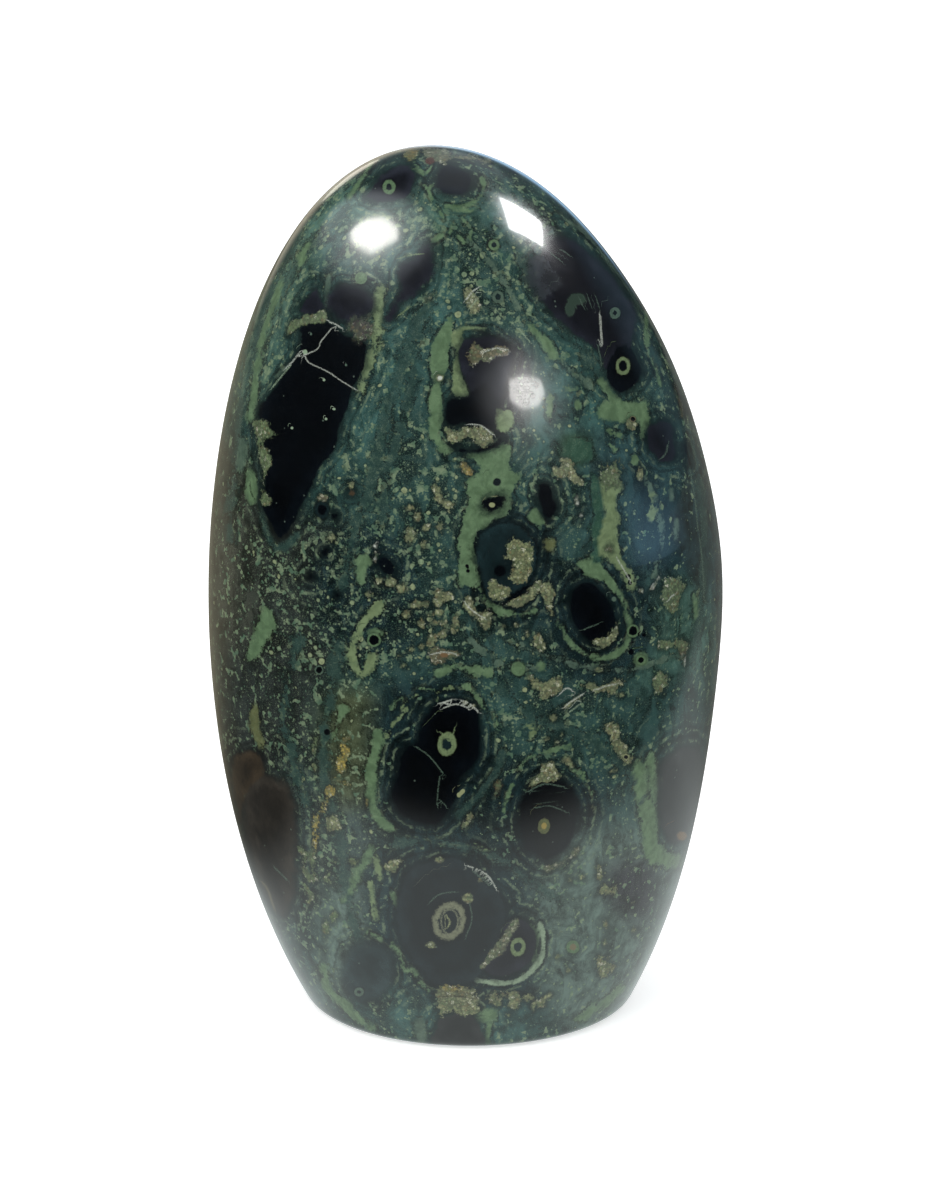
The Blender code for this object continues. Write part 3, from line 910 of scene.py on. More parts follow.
# green bands and streams: tone, width in mm, line of (phi, z)
STREAMS = (
    ("lg", 1.4, ((190, 140), (196, 125), (202, 112), (196, 96), (202, 84), (214, 76))),
    ("lg", 1.1, ((160, 118), (156, 100), (160, 84), (166, 72), (178, 62), (190, 54))),
    ("gg", 1.6, ((226, 92), (232, 76), (228, 60), (220, 46), (214, 30))),
    ("lg", 2.2, ((142, 100), (138, 88), (142, 74), (150, 68))),
    ("sg", 2.4, ((245, 76), (250, 64), (246, 52))),
    ("lg", 1.3, ((120, 112), (114, 98), (112, 84), (116, 72), (122, 60), (130, 46))),
    ("cl", 1.0, ((180, 46), (186, 50), (194, 48), (203, 50), (208, 44))),
    ("lg", 1.8, ((168, 22), (172, 30), (170, 40), (176, 48))),
    ("gg", 1.5, ((240, 120), (246, 108), (243, 96))),
    ("lg", 1.2, ((256, 72), (262, 60), (258, 48), (263, 36))),
    ("lg", 1.0, ((100, 88), (104, 76), (101, 60), (105, 48))),
    ("wg", 0.7, ((136, 30), (142, 26), (150, 24), (158, 26))),
    ("lg", 1.6, ((186, 10), (200, 14), (210, 10))),
    ("lg", 1.2, ((118, 20), (124, 28), (132, 30))),
    ("sg", 2.0, ((206, 100), (212, 108), (210, 120))),
    ("cl", 0.9, ((234, 130), (228, 122), (222, 118))),
)
for tone, width, way in STREAMS:
    line = np.array([place(*w)[0] for w in way])
    line = rounded(line, False, 5)
    d = (to_line(points, line) - width / 2) * PX
    index = np.nonzero((d < 60) & (facing < 0.3) & (facing > -0.999))[0]
    green.put(index, d[index] + back_penalty[index], tone, 2.0, 2.6)

# clusters of pale curds: phi, z, spread in mm, how many, tone
CLUSTERS = (
    (188, 82, 7, 16, "cr"), (168, 62, 6, 12, "cr"), (214, 96, 5, 9, "cl"), (150, 82, 6, 12, "cr"), (138, 42, 6, 10, "cr"),
    (226, 34, 6, 10, "cr"), (200, 20, 6, 9, "cl"), (174, 12, 5, 8, "cr"), (248, 62, 6, 10, "cl"), (116, 54, 6, 12, "cr"),
    (130, 100, 5, 9, "cl"), (206, 142, 4, 6, "cr"), (176, 128, 5, 9, "cr"), (236, 74, 5, 10, "cy"), (160, 96, 4, 7, "cy"),
    (106, 24, 5, 8, "cr"), (256, 104, 5, 8, "cr"), (98, 80, 5, 8, "cr"), (218, 56, 4, 7, "cb"), (184, 55, 5, 9, "cr"),
    (262, 42, 5, 8, "cl"), (122, 132, 4, 6, "cr"), (196, 108, 4, 7, "cr"), (146, 32, 4, 6, "cy"),
)
for phi, z, spread, count, tone in CLUSTERS:
    at, n = place(phi, z)
    right, up = tangents(n)
    rel = points - at
    index = np.nonzero((np.linalg.norm(rel, axis=1) < spread * 3 + 8) & (normals @ n > 0.2) & (facing < 0.3) & (facing > -0.999))[0]
    q = np.stack([rel[index] @ right, rel[index] @ up], 1)
    for _ in range(count):
        centre = rng.normal(0, spread / 2, 2)
        a = rng.uniform(0, math.pi)
        reach = np.array([math.cos(a), math.sin(a)]) * rng.uniform(0.2, 2.2)
        d = (to_line(q, np.array([centre - reach / 2, centre + reach / 2])) - rng.uniform(0.3, 0.75)) * PX
        cream.put(index, d + back_penalty[index], tone, 1.2, 2.6)

# the ground base: a few cut orbs and curds
for x, y, rx, ry, tone, eye in ((-12, 4, 9, 7, "gd", 1.8), (9, -7, 7, 8, "bk", 1.5), (10, 10, 5, 4.5, "pb", 1.0), (-6, -14, 5, 4, "bk", 0.9), (20, 2, 4, 5, "gd", 0.0)):
    index = np.nonzero(facing < -0.999)[0]
    q = points[index, :2] - (x, y)
    angle = np.arctan2(q[:, 1], q[:, 0])
    waves = 1 + sum(rng.uniform(0.02, 0.08) * np.cos(k * angle + rng.uniform(0, 6.28)) for k in (2, 3, 4))
    d = (np.sqrt((q[:, 0] / rx) ** 2 + (q[:, 1] / ry) ** 2) / waves - 1) * min(rx, ry) * PX
    dark.put(index, d, tone, 1.6, 1.6)
    green.put(index, np.abs(d - 10) - 3 + np.clip(np.cos(angle - 1) * 9, 0, None), "lg", 1.6, 2.4)
    if eye:
        put_eye(index, q / eye, 0.5, "cl", "dt")
for _ in range(46):
    index = np.nonzero(facing < -0.999)[0]
    centre = rng.uniform((-24, -20), (24, 20))
    reach = rng.normal(0, 0.9, 2)
    d = (to_line(points[index, :2], np.array([centre - reach, centre + reach])) - rng.uniform(0.3, 0.7)) * PX
    cream.put(index, d, "cr", 1.2, 2.6)

green.write("green")
dark.write("dark")
cream.write("cream")

# the ground: washes of tone, and how grainy it is
wash = np.zeros((N, 3)) + TONE["teal"]
grain = np.full(N, 0.6)
for item in parse(GROUND):
    low, high = item["pts"].min(0) - 90, item["pts"].max(0) + 90
    index = np.nonzero((facing > -0.6) & (spot > low).all(1) & (spot < high).all(1))[0]
    d = to_outline(spot[index], rounded(item["pts"], True, 3))
    w = smooth(-d, -item["s"], item["s"] * 0.6) * fade_front[index]
    wash[index] += w[:, None] * (TONE[item["tone"]] - wash[index])
    grain[index] += w * (item["r"] - grain[index])
# behind, the tone drifts in broad patches
for _ in range(34):
    at, n = place(rng.uniform(85, 275), rng.uniform(4, 146))
    reach = rng.uniform(9, 22)
    w = np.exp(-(np.linalg.norm((points - at) * (1, 1, 0.6), axis=1) / reach) ** 2) * (1 - fade_front) * rng.uniform(0.5, 1.0)
    tone = rng.choice(["teal", "mint", "deep", "grey", "olive", "blue", "lite", "teal", "deep"])
    wash += w[:, None] * (TONE[tone] - wash)
    grain += w * (rng.uniform(0.2, 0.9) - grain)
# the matrix is darker and smoother round the dark bodies and under the curds
halo = 1 - smooth(dark.d, 0, 20)
under = 1 - smooth(cream.d, 0, 9)
wash *= 1 - 0.26 * halo[:, None]
wash *= 1 - 0.30 * under[:, None]
grain *= 1 - 0.45 * halo


def write_colour(name, rgb, a):
    t = mesh.attributes.new(name, "FLOAT_COLOR", "POINT")
    t.data.foreach_set("color", np.concatenate([rgb, np.asarray(a, float).reshape(-1, 1)], 1).astype(np.float32).ravel())


def write_vector(name, v):
    t = mesh.attributes.new(name, "FLOAT_VECTOR", "POINT")
    t.data.foreach_set("vector", np.ascontiguousarray(v, np.float32).ravel())


write_colour("ground_tone", wash, np.ones(N))
write_vector("ground_kind", np.stack([grain, halo, under], 1))
write_vector("eye_place", np.concatenate([eye_off, eye_ratio[:, None]], 1))
write_colour("eye_ring", eye_ring, np.ones(N))
write_colour("eye_core", eye_core, np.ones(N))
write_vector("spot_place", np.concatenate([spot_off, np.zeros((N, 1))], 1))
write_colour("spot_tone", spot_rgb, np.ones(N))

# fine lines keep a signed distance, so that they stay thin between the mesh's points
line_d = np.full(N, 99.0)
line_s = np.zeros(N)
line_w = np.zeros(N)
line_rgb = np.zeros((N, 3))
for item in parse(LINES):
    pts = rounded(item["pts"], False, 3)
    low, high = pts.min(0) - 10, pts.max(0) + 10
    index = np.nonzero((facing > 0.02) & (spot > low).all(1) & (spot < high).all(1))[0]
    q = spot[index]
    best, sign = np.full(len(q), 1e9), np.ones(len(q))
    for a, b in zip(pts, pts[1:]):
        e, w = b - a, q - a
        t = np.clip(w @ e / max(e @ e, 1e-9), 0, 1)
        d = np.linalg.norm(w - t[:, None] * e, axis=1)
        s = np.sign(e[0] * w[:, 1] - e[1] * w[:, 0])
        near = d < best
        best[near], sign[near] = d[near], s[near]
    near = best < line_d[index]
    j = index[near]
    line_d[j], line_s[j], line_w[j] = best[near], (best * sign)[near], float(item["form"][1:]) / 2
    line_rgb[j] = TONE[item["tone"]]
line_mask = 1 - smooth(line_d, 2.5, 6.5)
write_vector("line_place", np.stack([line_s, line_w, line_mask], 1))
write_colour("line_tone", line_rgb, np.ones(N))

# =============================================================================
# The polished stone
# =============================================================================


class Graph:
    def __init__(self, tree):
        self.tree = tree
        tree.nodes.clear()

    def new(self, kind, **settings):
        node = self.tree.nodes.new(kind)
        for k, v in settings.items():
            setattr(node, k, v)
        return node

    def put(self, socket, value):
        if isinstance(value, bpy.types.NodeSocket):
            self.tree.links.new(value, socket)
        elif value is not None:
            socket.default_value = value

    def math(self, op, a, b=None, c=None, clamp=False):
        n = self.new("ShaderNodeMath", operation=op, use_clamp=clamp)
        for s, v in zip(n.inputs, (a, b, c)):
            self.put(s, v)
        return n.outputs[0]

    def vmath(self, op, a, b=None, scale=None):
        n = self.new("ShaderNodeVectorMath", operation=op)
        self.put(n.inputs[0], a)
        if b is not None:
            self.put(n.inputs[1], b)
        if scale is not None:
            self.put(n.inputs["Scale"], scale)
        return n.outputs["Value"] if op in ("LENGTH", "DOT_PRODUCT", "DISTANCE") else n.outputs[0]

    def step(self, x, low, high, to_low=0.0, to_high=1.0):
        n = self.new("ShaderNodeMapRange", interpolation_type="SMOOTHSTEP")
        for s, v in zip(n.inputs, (x, low, high, to_low, to_high)):
            self.put(s, v)
        return n.outputs[0]

    def mix(self, f, a, b, mode="MIX"):
        n = self.new("ShaderNodeMix", data_type="RGBA", blend_type=mode)
        self.put(n.inputs[0], f)
        self.put(n.inputs[6], a)
        self.put(n.inputs[7], b)
        return n.outputs[2]

    def blend(self, f, a, b):
        n = self.new("ShaderNodeMix", data_type="FLOAT")
        self.put(n.inputs[0], f)
        self.put(n.inputs[2], a)
        self.put(n.inputs[3], b)
        return n.outputs[0]

    def noise(self, at, scale, detail=2.0, rough=0.5, distort=0.0):
        n = self.new("ShaderNodeTexNoise")
        self.put(n.inputs["Vector"], at)
        n.inputs["Scale"].default_value = scale
        n.inputs["Detail"].default_value = detail
        n.inputs["Roughness"].default_value = rough
        n.inputs["Distortion"].default_value = distort
        return n.outputs[0], n.outputs[1]

    def cells(self, at, scale, feature="F1"):
        n = self.new("ShaderNodeTexVoronoi", feature=feature)
        self.put(n.inputs["Vector"], at)
        n.inputs["Scale"].default_value = scale
        return n.outputs[0], n.outputs[1]

    def attr(self, name):
        n = self.new("ShaderNodeAttribute", attribute_type="GEOMETRY", attribute_name=name)
        return n.outputs["Color"], n.outputs["Vector"]

    def split(self, v):
        n = self.new("ShaderNodeSeparateXYZ")
        self.put(n.inputs[0], v)
        return n.outputs[0], n.outputs[1], n.outputs[2]


def rgba(v, k=1.0):
    return (float(v[0]) * k, float(v[1]) * k, float(v[2]) * k, 1.0)


stone_mat = bpy.data.materials.new("polished_kambaba_jasper")
stone_mat.use_nodes = True
g = Graph(stone_mat.node_tree)
place_at = g.new("ShaderNodeTexCoord").outputs["Object"]
at = g.vmath("SCALE", place_at, scale=1000.0)
drift = g.vmath("SCALE", g.vmath("SUBTRACT", g.noise(at, 0.16, 2.0)[1], (0.5, 0.5, 0.5)), scale=5.0)
at_w = g.vmath("ADD", at, drift)
broad = g.noise(at_w, 0.20, 4.0, 0.6)[0]
middle = g.noise(at_w, 0.75, 4.0, 0.6)[0]
fine = g.noise(at, 2.3, 3.0, 0.6)[0]
finest = g.noise(at, 6.5, 2.0, 0.5)[0]
edge_1 = g.math("SUBTRACT", g.noise(at, 0.85, 3.0, 0.65)[0], 0.5)
edge_2 = g.math("SUBTRACT", fine, 0.5)
edge_0 = g.math("SUBTRACT", g.noise(at, 0.33, 2.0, 0.5)[0], 0.5)
edge = g.math("ADD", g.math("MULTIPLY", edge_1, 3.0), g.math("MULTIPLY", edge_2, 3.4))
edge = g.math("ADD", edge, g.math("MULTIPLY", edge_0, 5.0))


def cover(name, extra=0.0):
    tone, _ = g.attr(name + "_tone")
    d, soft, rag = g.split(g.attr(name + "_edge")[1])
    d = g.math("ADD", d, g.math("MULTIPLY", edge, rag))
    if extra:
        d = g.math("ADD", d, extra)
    return tone, d, g.step(d, soft, g.math("MULTIPLY", soft, -1.0))


ground_tone = g.attr("ground_tone")[0]
grainy, halo_s, under_s = g.split(g.attr("ground_kind")[1])

# matrix: broad drift of tone, streams, grains of several sizes
level = g.math("ADD", g.step(broad, 0.33, 0.67, 0.42, 1.32), g.math("MULTIPLY", g.math("SUBTRACT", middle, 0.5), 1.5))
level = g.math("ADD", level, g.math("MULTIPLY", g.math("SUBTRACT", finest, 0.5), 0.8))
level = g.math("MAXIMUM", level, 0.18)
body = g.mix(1.0, ground_tone, (1, 1, 1, 1), "MULTIPLY")
body = g.vmath("SCALE", body, scale=level)
stream_at = g.vmath("MULTIPLY", at_w, (0.55, 0.55, 0.15))
stream = g.noise(stream_at, 0.75, 3.0, 0.55, 0.6)[0]
body = g.mix(g.step(stream, 0.52, 0.66, 0.0, 0.55), body, g.vmath("SCALE", ground_tone, scale=1.75))
body = g.mix(g.step(stream, 0.46, 0.34, 0.0, 0.55), body, g.vmath("SCALE", ground_tone, scale=0.50))

grain_tone = g.mix(g.step(middle, 0.38, 0.62), rgba(srgb(84, 112, 90)), rgba(srgb(126, 144, 112)))
curd = g.noise(at, 0.82, 2.5, 0.55)[0]
limit = g.math("SUBTRACT", 0.690, g.math("MULTIPLY", grainy, 0.165))
patchy = g.step(g.noise(at_w, 0.24, 2.0)[0], 0.40, 0.60, 0.045, -0.035)
limit = g.math("ADD", limit, patchy)
curds = g.step(curd, limit, g.math("ADD", limit, 0.035))
dots_d, dots_c = g.cells(at, 1.15)
dots_r = g.math("MULTIPLY", g.split(dots_c)[0], g.math("MULTIPLY", grainy, 0.46))
dots = g.step(g.math("ADD", dots_d, g.math("MULTIPLY", edge_2, 0.25)), g.math("ADD", dots_r, 0.03), g.math("SUBTRACT", dots_r, 0.04))
small_d, small_c = g.cells(at, 2.3)
small_r = g.math("MULTIPLY", g.split(small_c)[1], g.math("MULTIPLY", grainy, 0.42))
small = g.step(small_d, g.math("ADD", small_r, 0.04), g.math("SUBTRACT", small_r, 0.06))
speck = g.step(finest, 0.54, 0.66, 0.0, 0.45)
body = g.mix(g.math("MULTIPLY", speck, grainy), body, grain_tone)
body = g.mix(g.math("MULTIPLY", small, 0.55), body, grain_tone)
body = g.mix(g.math("MULTIPLY", dots, 0.72), body, grain_tone)
body = g.mix(g.math("MULTIPLY", curds, 0.80), body, grain_tone)
blob_d, blob_c = g.cells(g.vmath("ADD", at, g.vmath("SCALE", drift, scale=0.3)), 0.72)
blob_1, blob_2, _ = g.split(blob_c)
gate = g.step(g.noise(at_w, 0.17, 2.0)[0], 0.47, 0.60)
blob_r = g.math("MULTIPLY", g.math("MULTIPLY", blob_1, gate), g.math("MULTIPLY", grainy, 0.58))
blob_e = g.math("ADD", blob_d, g.math("MULTIPLY", edge, 0.075))
blobs = g.step(blob_e, blob_r, g.math("SUBTRACT", blob_r, 0.07))
body = g.mix(g.math("MULTIPLY", g.step(blob_e, g.math("ADD", blob_r, 0.20), blob_r), g.math("MULTIPLY", g.math("GREATER_THAN", blob_r, 0.10), 0.45)), body, g.vmath("SCALE", ground_tone, scale=0.40))
body = g.mix(g.math("MULTIPLY", blobs, g.math("GREATER_THAN", blob_r, 0.10)), body, g.vmath("SCALE", g.mix(blob_2, grain_tone, rgba(srgb(142, 152, 114))), scale=g.step(fine, 0.3, 0.7, 0.72, 1.2)))

# growth lines round the dark bodies
d_dark = g.split(g.attr("dark_edge")[1])[0]
d_dark = g.math("ADD", d_dark, g.math("MULTIPLY", edge_1, 5.0))
wave = g.math("SINE", g.math("ADD", g.math("MULTIPLY", d_dark, 0.62), g.math("MULTIPLY", broad, 9.0)))
lines = g.math("MULTIPLY", g.step(wave, 0.35, 0.95), g.math("MULTIPLY", g.step(d_dark, 3.0, 8.0), g.step(d_dark, 34.0, 14.0)))
body = g.mix(g.math("MULTIPLY", lines, g.step(middle, 0.42, 0.60, 0.0, 0.50)), body, grain_tone)
body = g.vmath("SCALE", body, scale=g.math("SUBTRACT", 1.0, g.math("MULTIPLY", g.math("MULTIPLY", g.step(wave, -0.35, -0.95), g.step(d_dark, 30.0, 10.0)), 0.38)))

# green bands
tone, d, c_green = cover("green")
inner = g.vmath("SCALE", tone, scale=g.step(middle, 0.30, 0.70, 0.78, 1.18))
inner = g.mix(g.math("MULTIPLY", g.step(finest, 0.52, 0.66), 0.30), inner, grain_tone)
hem = g.math("MULTIPLY", g.step(g.math("ABSOLUTE", g.math("SUBTRACT", d, 1.6)), 2.4, 0.4), g.step(middle, 0.42, 0.58, 0.10, 0.62))
body = g.mix(g.math("MULTIPLY", c_green, 0.94), body, inner)
body = g.vmath("SCALE", body, scale=g.math("SUBTRACT", 1.0, hem))

# dark bodies, with a dusky border of uneven width
tone, d, c_dark = cover("dark")
border = g.step(g.math("ADD", d, g.math("MULTIPLY", edge_1, 10.0)), 9.0, 0.0, 0.0, 0.72)
body = g.mix(border, body, g.vmath("SCALE", ground_tone, scale=0.34))
cloud = g.step(broad, 0.40, 0.72, 0.80, 1.50)
cloud = g.math("MULTIPLY", cloud, g.step(g.math("ADD", d, g.math("MULTIPLY", edge_1, 8.0)), -15.0, -1.0, 0.72, 1.40))
inner = g.vmath("SCALE", tone, scale=cloud)
stray_d, stray_c = g.cells(at, 0.62)
stray = g.math("MULTIPLY", g.step(stray_d, 0.13, 0.07), g.math("GREATER_THAN", g.split(stray_c)[0], 0.80))
inner = g.mix(g.math("MULTIPLY", stray, 0.45), inner, rgba(srgb(104, 122, 108)))
inner = g.mix(g.step(finest, 0.62, 0.74, 0.0, 0.10), inner, rgba(srgb(90, 104, 98)))
body = g.mix(c_dark, body, inner)

# cream curds, crystalline, with dark between
tone, d, c_cream = cover("cream")
rim = g.step(d, 4.5, 0.5, 0.0, 0.60)
body = g.mix(g.math("MULTIPLY", rim, g.math("SUBTRACT", 1.0, c_dark)), body, g.vmath("SCALE", ground_tone, scale=0.42))
gem_d, gem_c = g.cells(g.vmath("ADD", at, g.vmath("SCALE", g.noise(at, 2.0, 1.0)[1], scale=0.35)), 2.1)
gem_1, gem_2, gem_3 = g.split(gem_c)
inner = g.vmath("SCALE", tone, scale=g.math("ADD", g.math("MULTIPLY", gem_1, 0.62), 0.55))
inner = g.mix(g.math("MULTIPLY", g.step(gem_2, 0.55, 0.95), 0.60), inner, rgba(srgb(84, 106, 72)))
inner = g.mix(g.math("MULTIPLY", g.step(gem_3, 0.70, 0.95), 0.55), inner, rgba(srgb(110, 92, 62)))
inner = g.mix(g.step(middle, 0.50, 0.64, 0.0, 0.50), inner, rgba(srgb(90, 110, 76)))
inner = g.mix(g.step(gem_d, 0.34, 0.62, 0.0, 0.55), inner, rgba(srgb(52, 62, 48)))
inner = g.mix(g.step(g.math("ADD", gem_1, finest), 1.42, 1.56, 0.0, 0.85), inner, rgba(srgb(196, 196, 176)))
inner = g.mix(g.step(edge_2, -0.10, -0.20, 0.0, 0.75), inner, rgba(srgb(42, 52, 42)))
body = g.mix(c_cream, body, inner)

# eyes: a pale ring round a dark core, and a dark line outside it
ex, ey, ratio = g.split(g.attr("eye_place")[1])
wob = g.math("MULTIPLY", g.math("ADD", edge_1, edge_2), 0.22)
er = g.math("ADD", g.math("SQRT", g.math("ADD", g.math("MULTIPLY", ex, ex), g.math("MULTIPLY", ey, ey))), g.math("MULTIPLY", wob, 1.5))
outline = g.math("MULTIPLY", g.step(er, 1.45, 1.05), 0.70)
body = g.mix(outline, body, g.vmath("SCALE", body, scale=0.45))
c_ring = g.step(er, 1.08, 0.90)
body = g.mix(g.math("MULTIPLY", c_ring, 0.88), body, g.vmath("SCALE", g.attr("eye_ring")[0], scale=g.step(fine, 0.3, 0.7, 0.75, 1.2)))
c_core = g.step(er, g.math("ADD", ratio, 0.08), g.math("SUBTRACT", ratio, 0.10))
body = g.mix(c_core, body, g.attr("eye_core")[0])

sx, sy, _ = g.split(g.attr("spot_place")[1])
sr = g.math("ADD", g.math("SQRT", g.math("ADD", g.math("MULTIPLY", sx, sx), g.math("MULTIPLY", sy, sy))), g.math("MULTIPLY", wob, 1.6))
c_spot = g.step(sr, 1.20, 0.80)
body = g.mix(c_spot, body, g.attr("spot_tone")[0])

ls, lw, lm = g.split(g.attr("line_place")[1])
ld = g.math("SUBTRACT", g.math("ABSOLUTE", g.math("ADD", ls, g.math("MULTIPLY", edge_2, 1.6))), lw)
c_line = g.math("MULTIPLY", g.math("MULTIPLY", g.step(ld, 0.7, -0.5), lm), g.step(finest, 0.36, 0.56, 0.12, 1.0))
body = g.mix(g.math("MULTIPLY", c_line, 0.85), body, g.attr("line_tone")[0])

shader = g.new("ShaderNodeBsdfPrincipled")
out = g.new("ShaderNodeOutputMaterial")
g.put(out.inputs["Surface"], shader.outputs[0])
g.put(shader.inputs["Base Color"], body)
rough = g.step(middle, 0.3, 0.7, 0.17, 0.24)
rough = g.blend(g.math("MULTIPLY", c_cream, 0.8), rough, 0.36)
rough = g.blend(g.math("MULTIPLY", c_dark, 0.6), rough, 0.15)
g.put(shader.inputs["Roughness"], rough)
shader.inputs["IOR"].default_value = 1.54
shader.inputs["Coat Weight"].default_value = 0.75
shader.inputs["Coat Roughness"].default_value = 0.035
shader.inputs["Coat IOR"].default_value = 1.5
relief = g.math("ADD", g.math("MULTIPLY", g.math("MULTIPLY", c_cream, fine), 0.8), g.math("MULTIPLY", fine, 0.10))
relief = g.math("SUBTRACT", relief, g.math("MULTIPLY", c_spot, 0.5))
bump = g.new("ShaderNodeBump")
bump.inputs["Strength"].default_value = 0.35
bump.inputs["Distance"].default_value = 0.00006
g.put(bump.inputs["Height"], relief)
g.put(shader.inputs["Normal"], bump.outputs[0])

stone = bpy.data.objects.new("polished_stone", mesh)
bpy.context.scene.collection.objects.link(stone)
mesh.materials.append(stone_mat)
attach(stone, "root")
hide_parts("stone")

# =============================================================================
# The floor, the surroundings and the lights
# =============================================================================


def sight(tree_graph):
    return tree_graph.new("ShaderNodeLightPath")


floor_mesh = bpy.data.meshes.new("floor")
R = 6.0
floor_mesh.from_pydata([(-R, -R, 0), (R, -R, 0), (R, R, 0), (-R, R, 0)], [], [(0, 1, 2, 3)])
floor = bpy.data.objects.new("floor", floor_mesh)
floor.location.z = -0.0002
bpy.context.scene.collection.objects.link(floor)
floor_mat = bpy.data.materials.new("pale_floor")
floor_mat.use_nodes = True
floor_mesh.materials.append(floor_mat)
f = Graph(floor_mat.node_tree)
path = sight(f)
xyz = f.vmath("SCALE", f.new("ShaderNodeNewGeometry").outputs["Position"], scale=1000.0)
fx, fy, _ = f.split(xyz)
front_edge = f.step(fy, -122.0, -78.0)
right_edge = f.step(f.math("SUBTRACT", fy, f.math("MULTIPLY", fx, 0.94)), -200.0, -125.0)
left_edge = f.step(f.math("ADD", fy, f.math("MULTIPLY", fx, 0.63)), -190.0, -100.0)
behind = f.step(fy, 10.0, 160.0)
front_edge = f.math("MULTIPLY", front_edge, left_edge)
sheen = f.math("MULTIPLY", front_edge, right_edge)
white_part = f.math("MULTIPLY", sheen, f.math("SUBTRACT", 1.0, behind))
g_left = f.math("MULTIPLY", white_part, f.step(f.math("SUBTRACT", fx, f.math("MULTIPLY", fy, 0.4)), -45.0, -95.0, 1.0, 0.08))
far_tone = f.mix(f.step(fx, -60.0, 60.0), rgba((0.20, 0.18, 0.13)), rgba((0.13, 0.13, 0.12)))
shine = f.new("ShaderNodeEmission")
f.put(shine.inputs["Color"], f.mix(f.math("MULTIPLY", behind, front_edge), f.vmath("SCALE", rgba((0.92, 1.0, 0.99))[:3], scale=f.math("MULTIPLY", g_left, 0.66)), far_tone))
shine.inputs["Strength"].default_value = 1.0
pale = f.new("ShaderNodeEmission")
pale.inputs["Color"].default_value = (1, 1, 1, 1)
pale.inputs["Strength"].default_value = 0.80
plain = f.new("ShaderNodeBsdfDiffuse")
plain.inputs["Color"].default_value = (0.93, 0.93, 0.93, 1)
lift = f.new("ShaderNodeEmission")
lift.inputs["Strength"].default_value = 0.55
seen = f.new("ShaderNodeAddShader")
f.put(seen.inputs[0], plain.outputs[0])
f.put(seen.inputs[1], lift.outputs[0])
m1 = f.new("ShaderNodeMixShader")
f.put(m1.inputs[0], path.outputs["Is Glossy Ray"])
f.put(m1.inputs[1], pale.outputs[0])
f.put(m1.inputs[2], shine.outputs[0])
m2 = f.new("ShaderNodeMixShader")
f.put(m2.inputs[0], path.outputs["Is Camera Ray"])
f.put(m2.inputs[1], m1.outputs[0])
f.put(m2.inputs[2], seen.outputs[0])
f.put(f.new("ShaderNodeOutputMaterial").inputs["Surface"], m2.outputs[0])

world = bpy.data.worlds.new("studio")
bpy.context.scene.world = world
world.use_nodes = True
w = Graph(world.node_tree)
path = sight(w)
toward = w.new("ShaderNodeTexCoord").outputs["Generated"]


def direction(az, el):
    """az 0 is towards the viewer's side (-Y), 90 to the right (+X)."""
    a, e = math.radians(az), math.radians(el)
    return Vector((math.sin(a) * math.cos(e), -math.cos(a) * math.cos(e), math.sin(e)))


glow = (0.012, 0.015, 0.019, 1.0)
for az, el, wide, tone in ((172, 5, 15, (0.50, 0.80, 1.15)), (-166, 3, 26, (0.62, 0.54, 0.42)), (-120, 14, 26, (0.10, 0.10, 0.08)), (120, 14, 24, (0.05, 0.09, 0.12)), (180, 40, 40, (0.10, 0.12, 0.14))):
    c = w.vmath("DOT_PRODUCT", toward, tuple(direction(az, el)))
    k = w.step(c, math.cos(math.radians(wide)), math.cos(math.radians(wide * 0.2)))
    glow = w.mix(k, glow, rgba(tone), "ADD")
sky = w.new("ShaderNodeBackground")
w.put(sky.inputs["Color"], glow)
soft_sky = w.new("ShaderNodeBackground")
soft_sky.inputs["Color"].default_value = (0.97, 1.0, 1.02, 1)
soft_sky.inputs["Strength"].default_value = 0.80
white = w.new("ShaderNodeBackground")
white.inputs["Color"].default_value = (1, 1, 1, 1)
white.inputs["Strength"].default_value = 1.05
m1 = w.new("ShaderNodeMixShader")
w.put(m1.inputs[0], path.outputs["Is Glossy Ray"])
w.put(m1.inputs[1], soft_sky.outputs[0])
w.put(m1.inputs[2], sky.outputs[0])
m2 = w.new("ShaderNodeMixShader")
w.put(m2.inputs[0], path.outputs["Is Camera Ray"])
w.put(m2.inputs[1], m1.outputs[0])
w.put(m2.inputs[2], white.outputs[0])
w.put(w.new("ShaderNodeOutputWorld").inputs["Surface"], m2.outputs[0])


def under_pixel(px, py):
    """The surface point seen at a place of the frame, and the way a mirror there would send the look."""
    target = np.array([px, py], float)
    ok = np.where(facing > 0.02, ((spot - target) ** 2).sum(1), 1e12)
    i = int(np.argmin(ok[:n_side]))
    z, th = ring_z[i // COLUMNS], column_th[i % COLUMNS]
    for _ in range(4):
        miss = target - project(surface(z, th))
        jz = (project(surface(z + 0.01, th)) - project(surface(z - 0.01, th))) / 0.02
        jt = (project(surface(z, th + 1e-4)) - project(surface(z, th - 1e-4))) / 2e-4
        move = np.linalg.lstsq(np.stack([jz, jt], 1), miss, rcond=None)[0]
        z, th = min(max(z + move[0], 1.6), TOP_Z - 0.2), th + move[1]
    p, n = surface(z, th), surface_normal(np.array([z]), np.array([th]))[0]
    look = p - EYE
    look /= np.linalg.norm(look)
    return p, look - 2 * (look @ n) * n


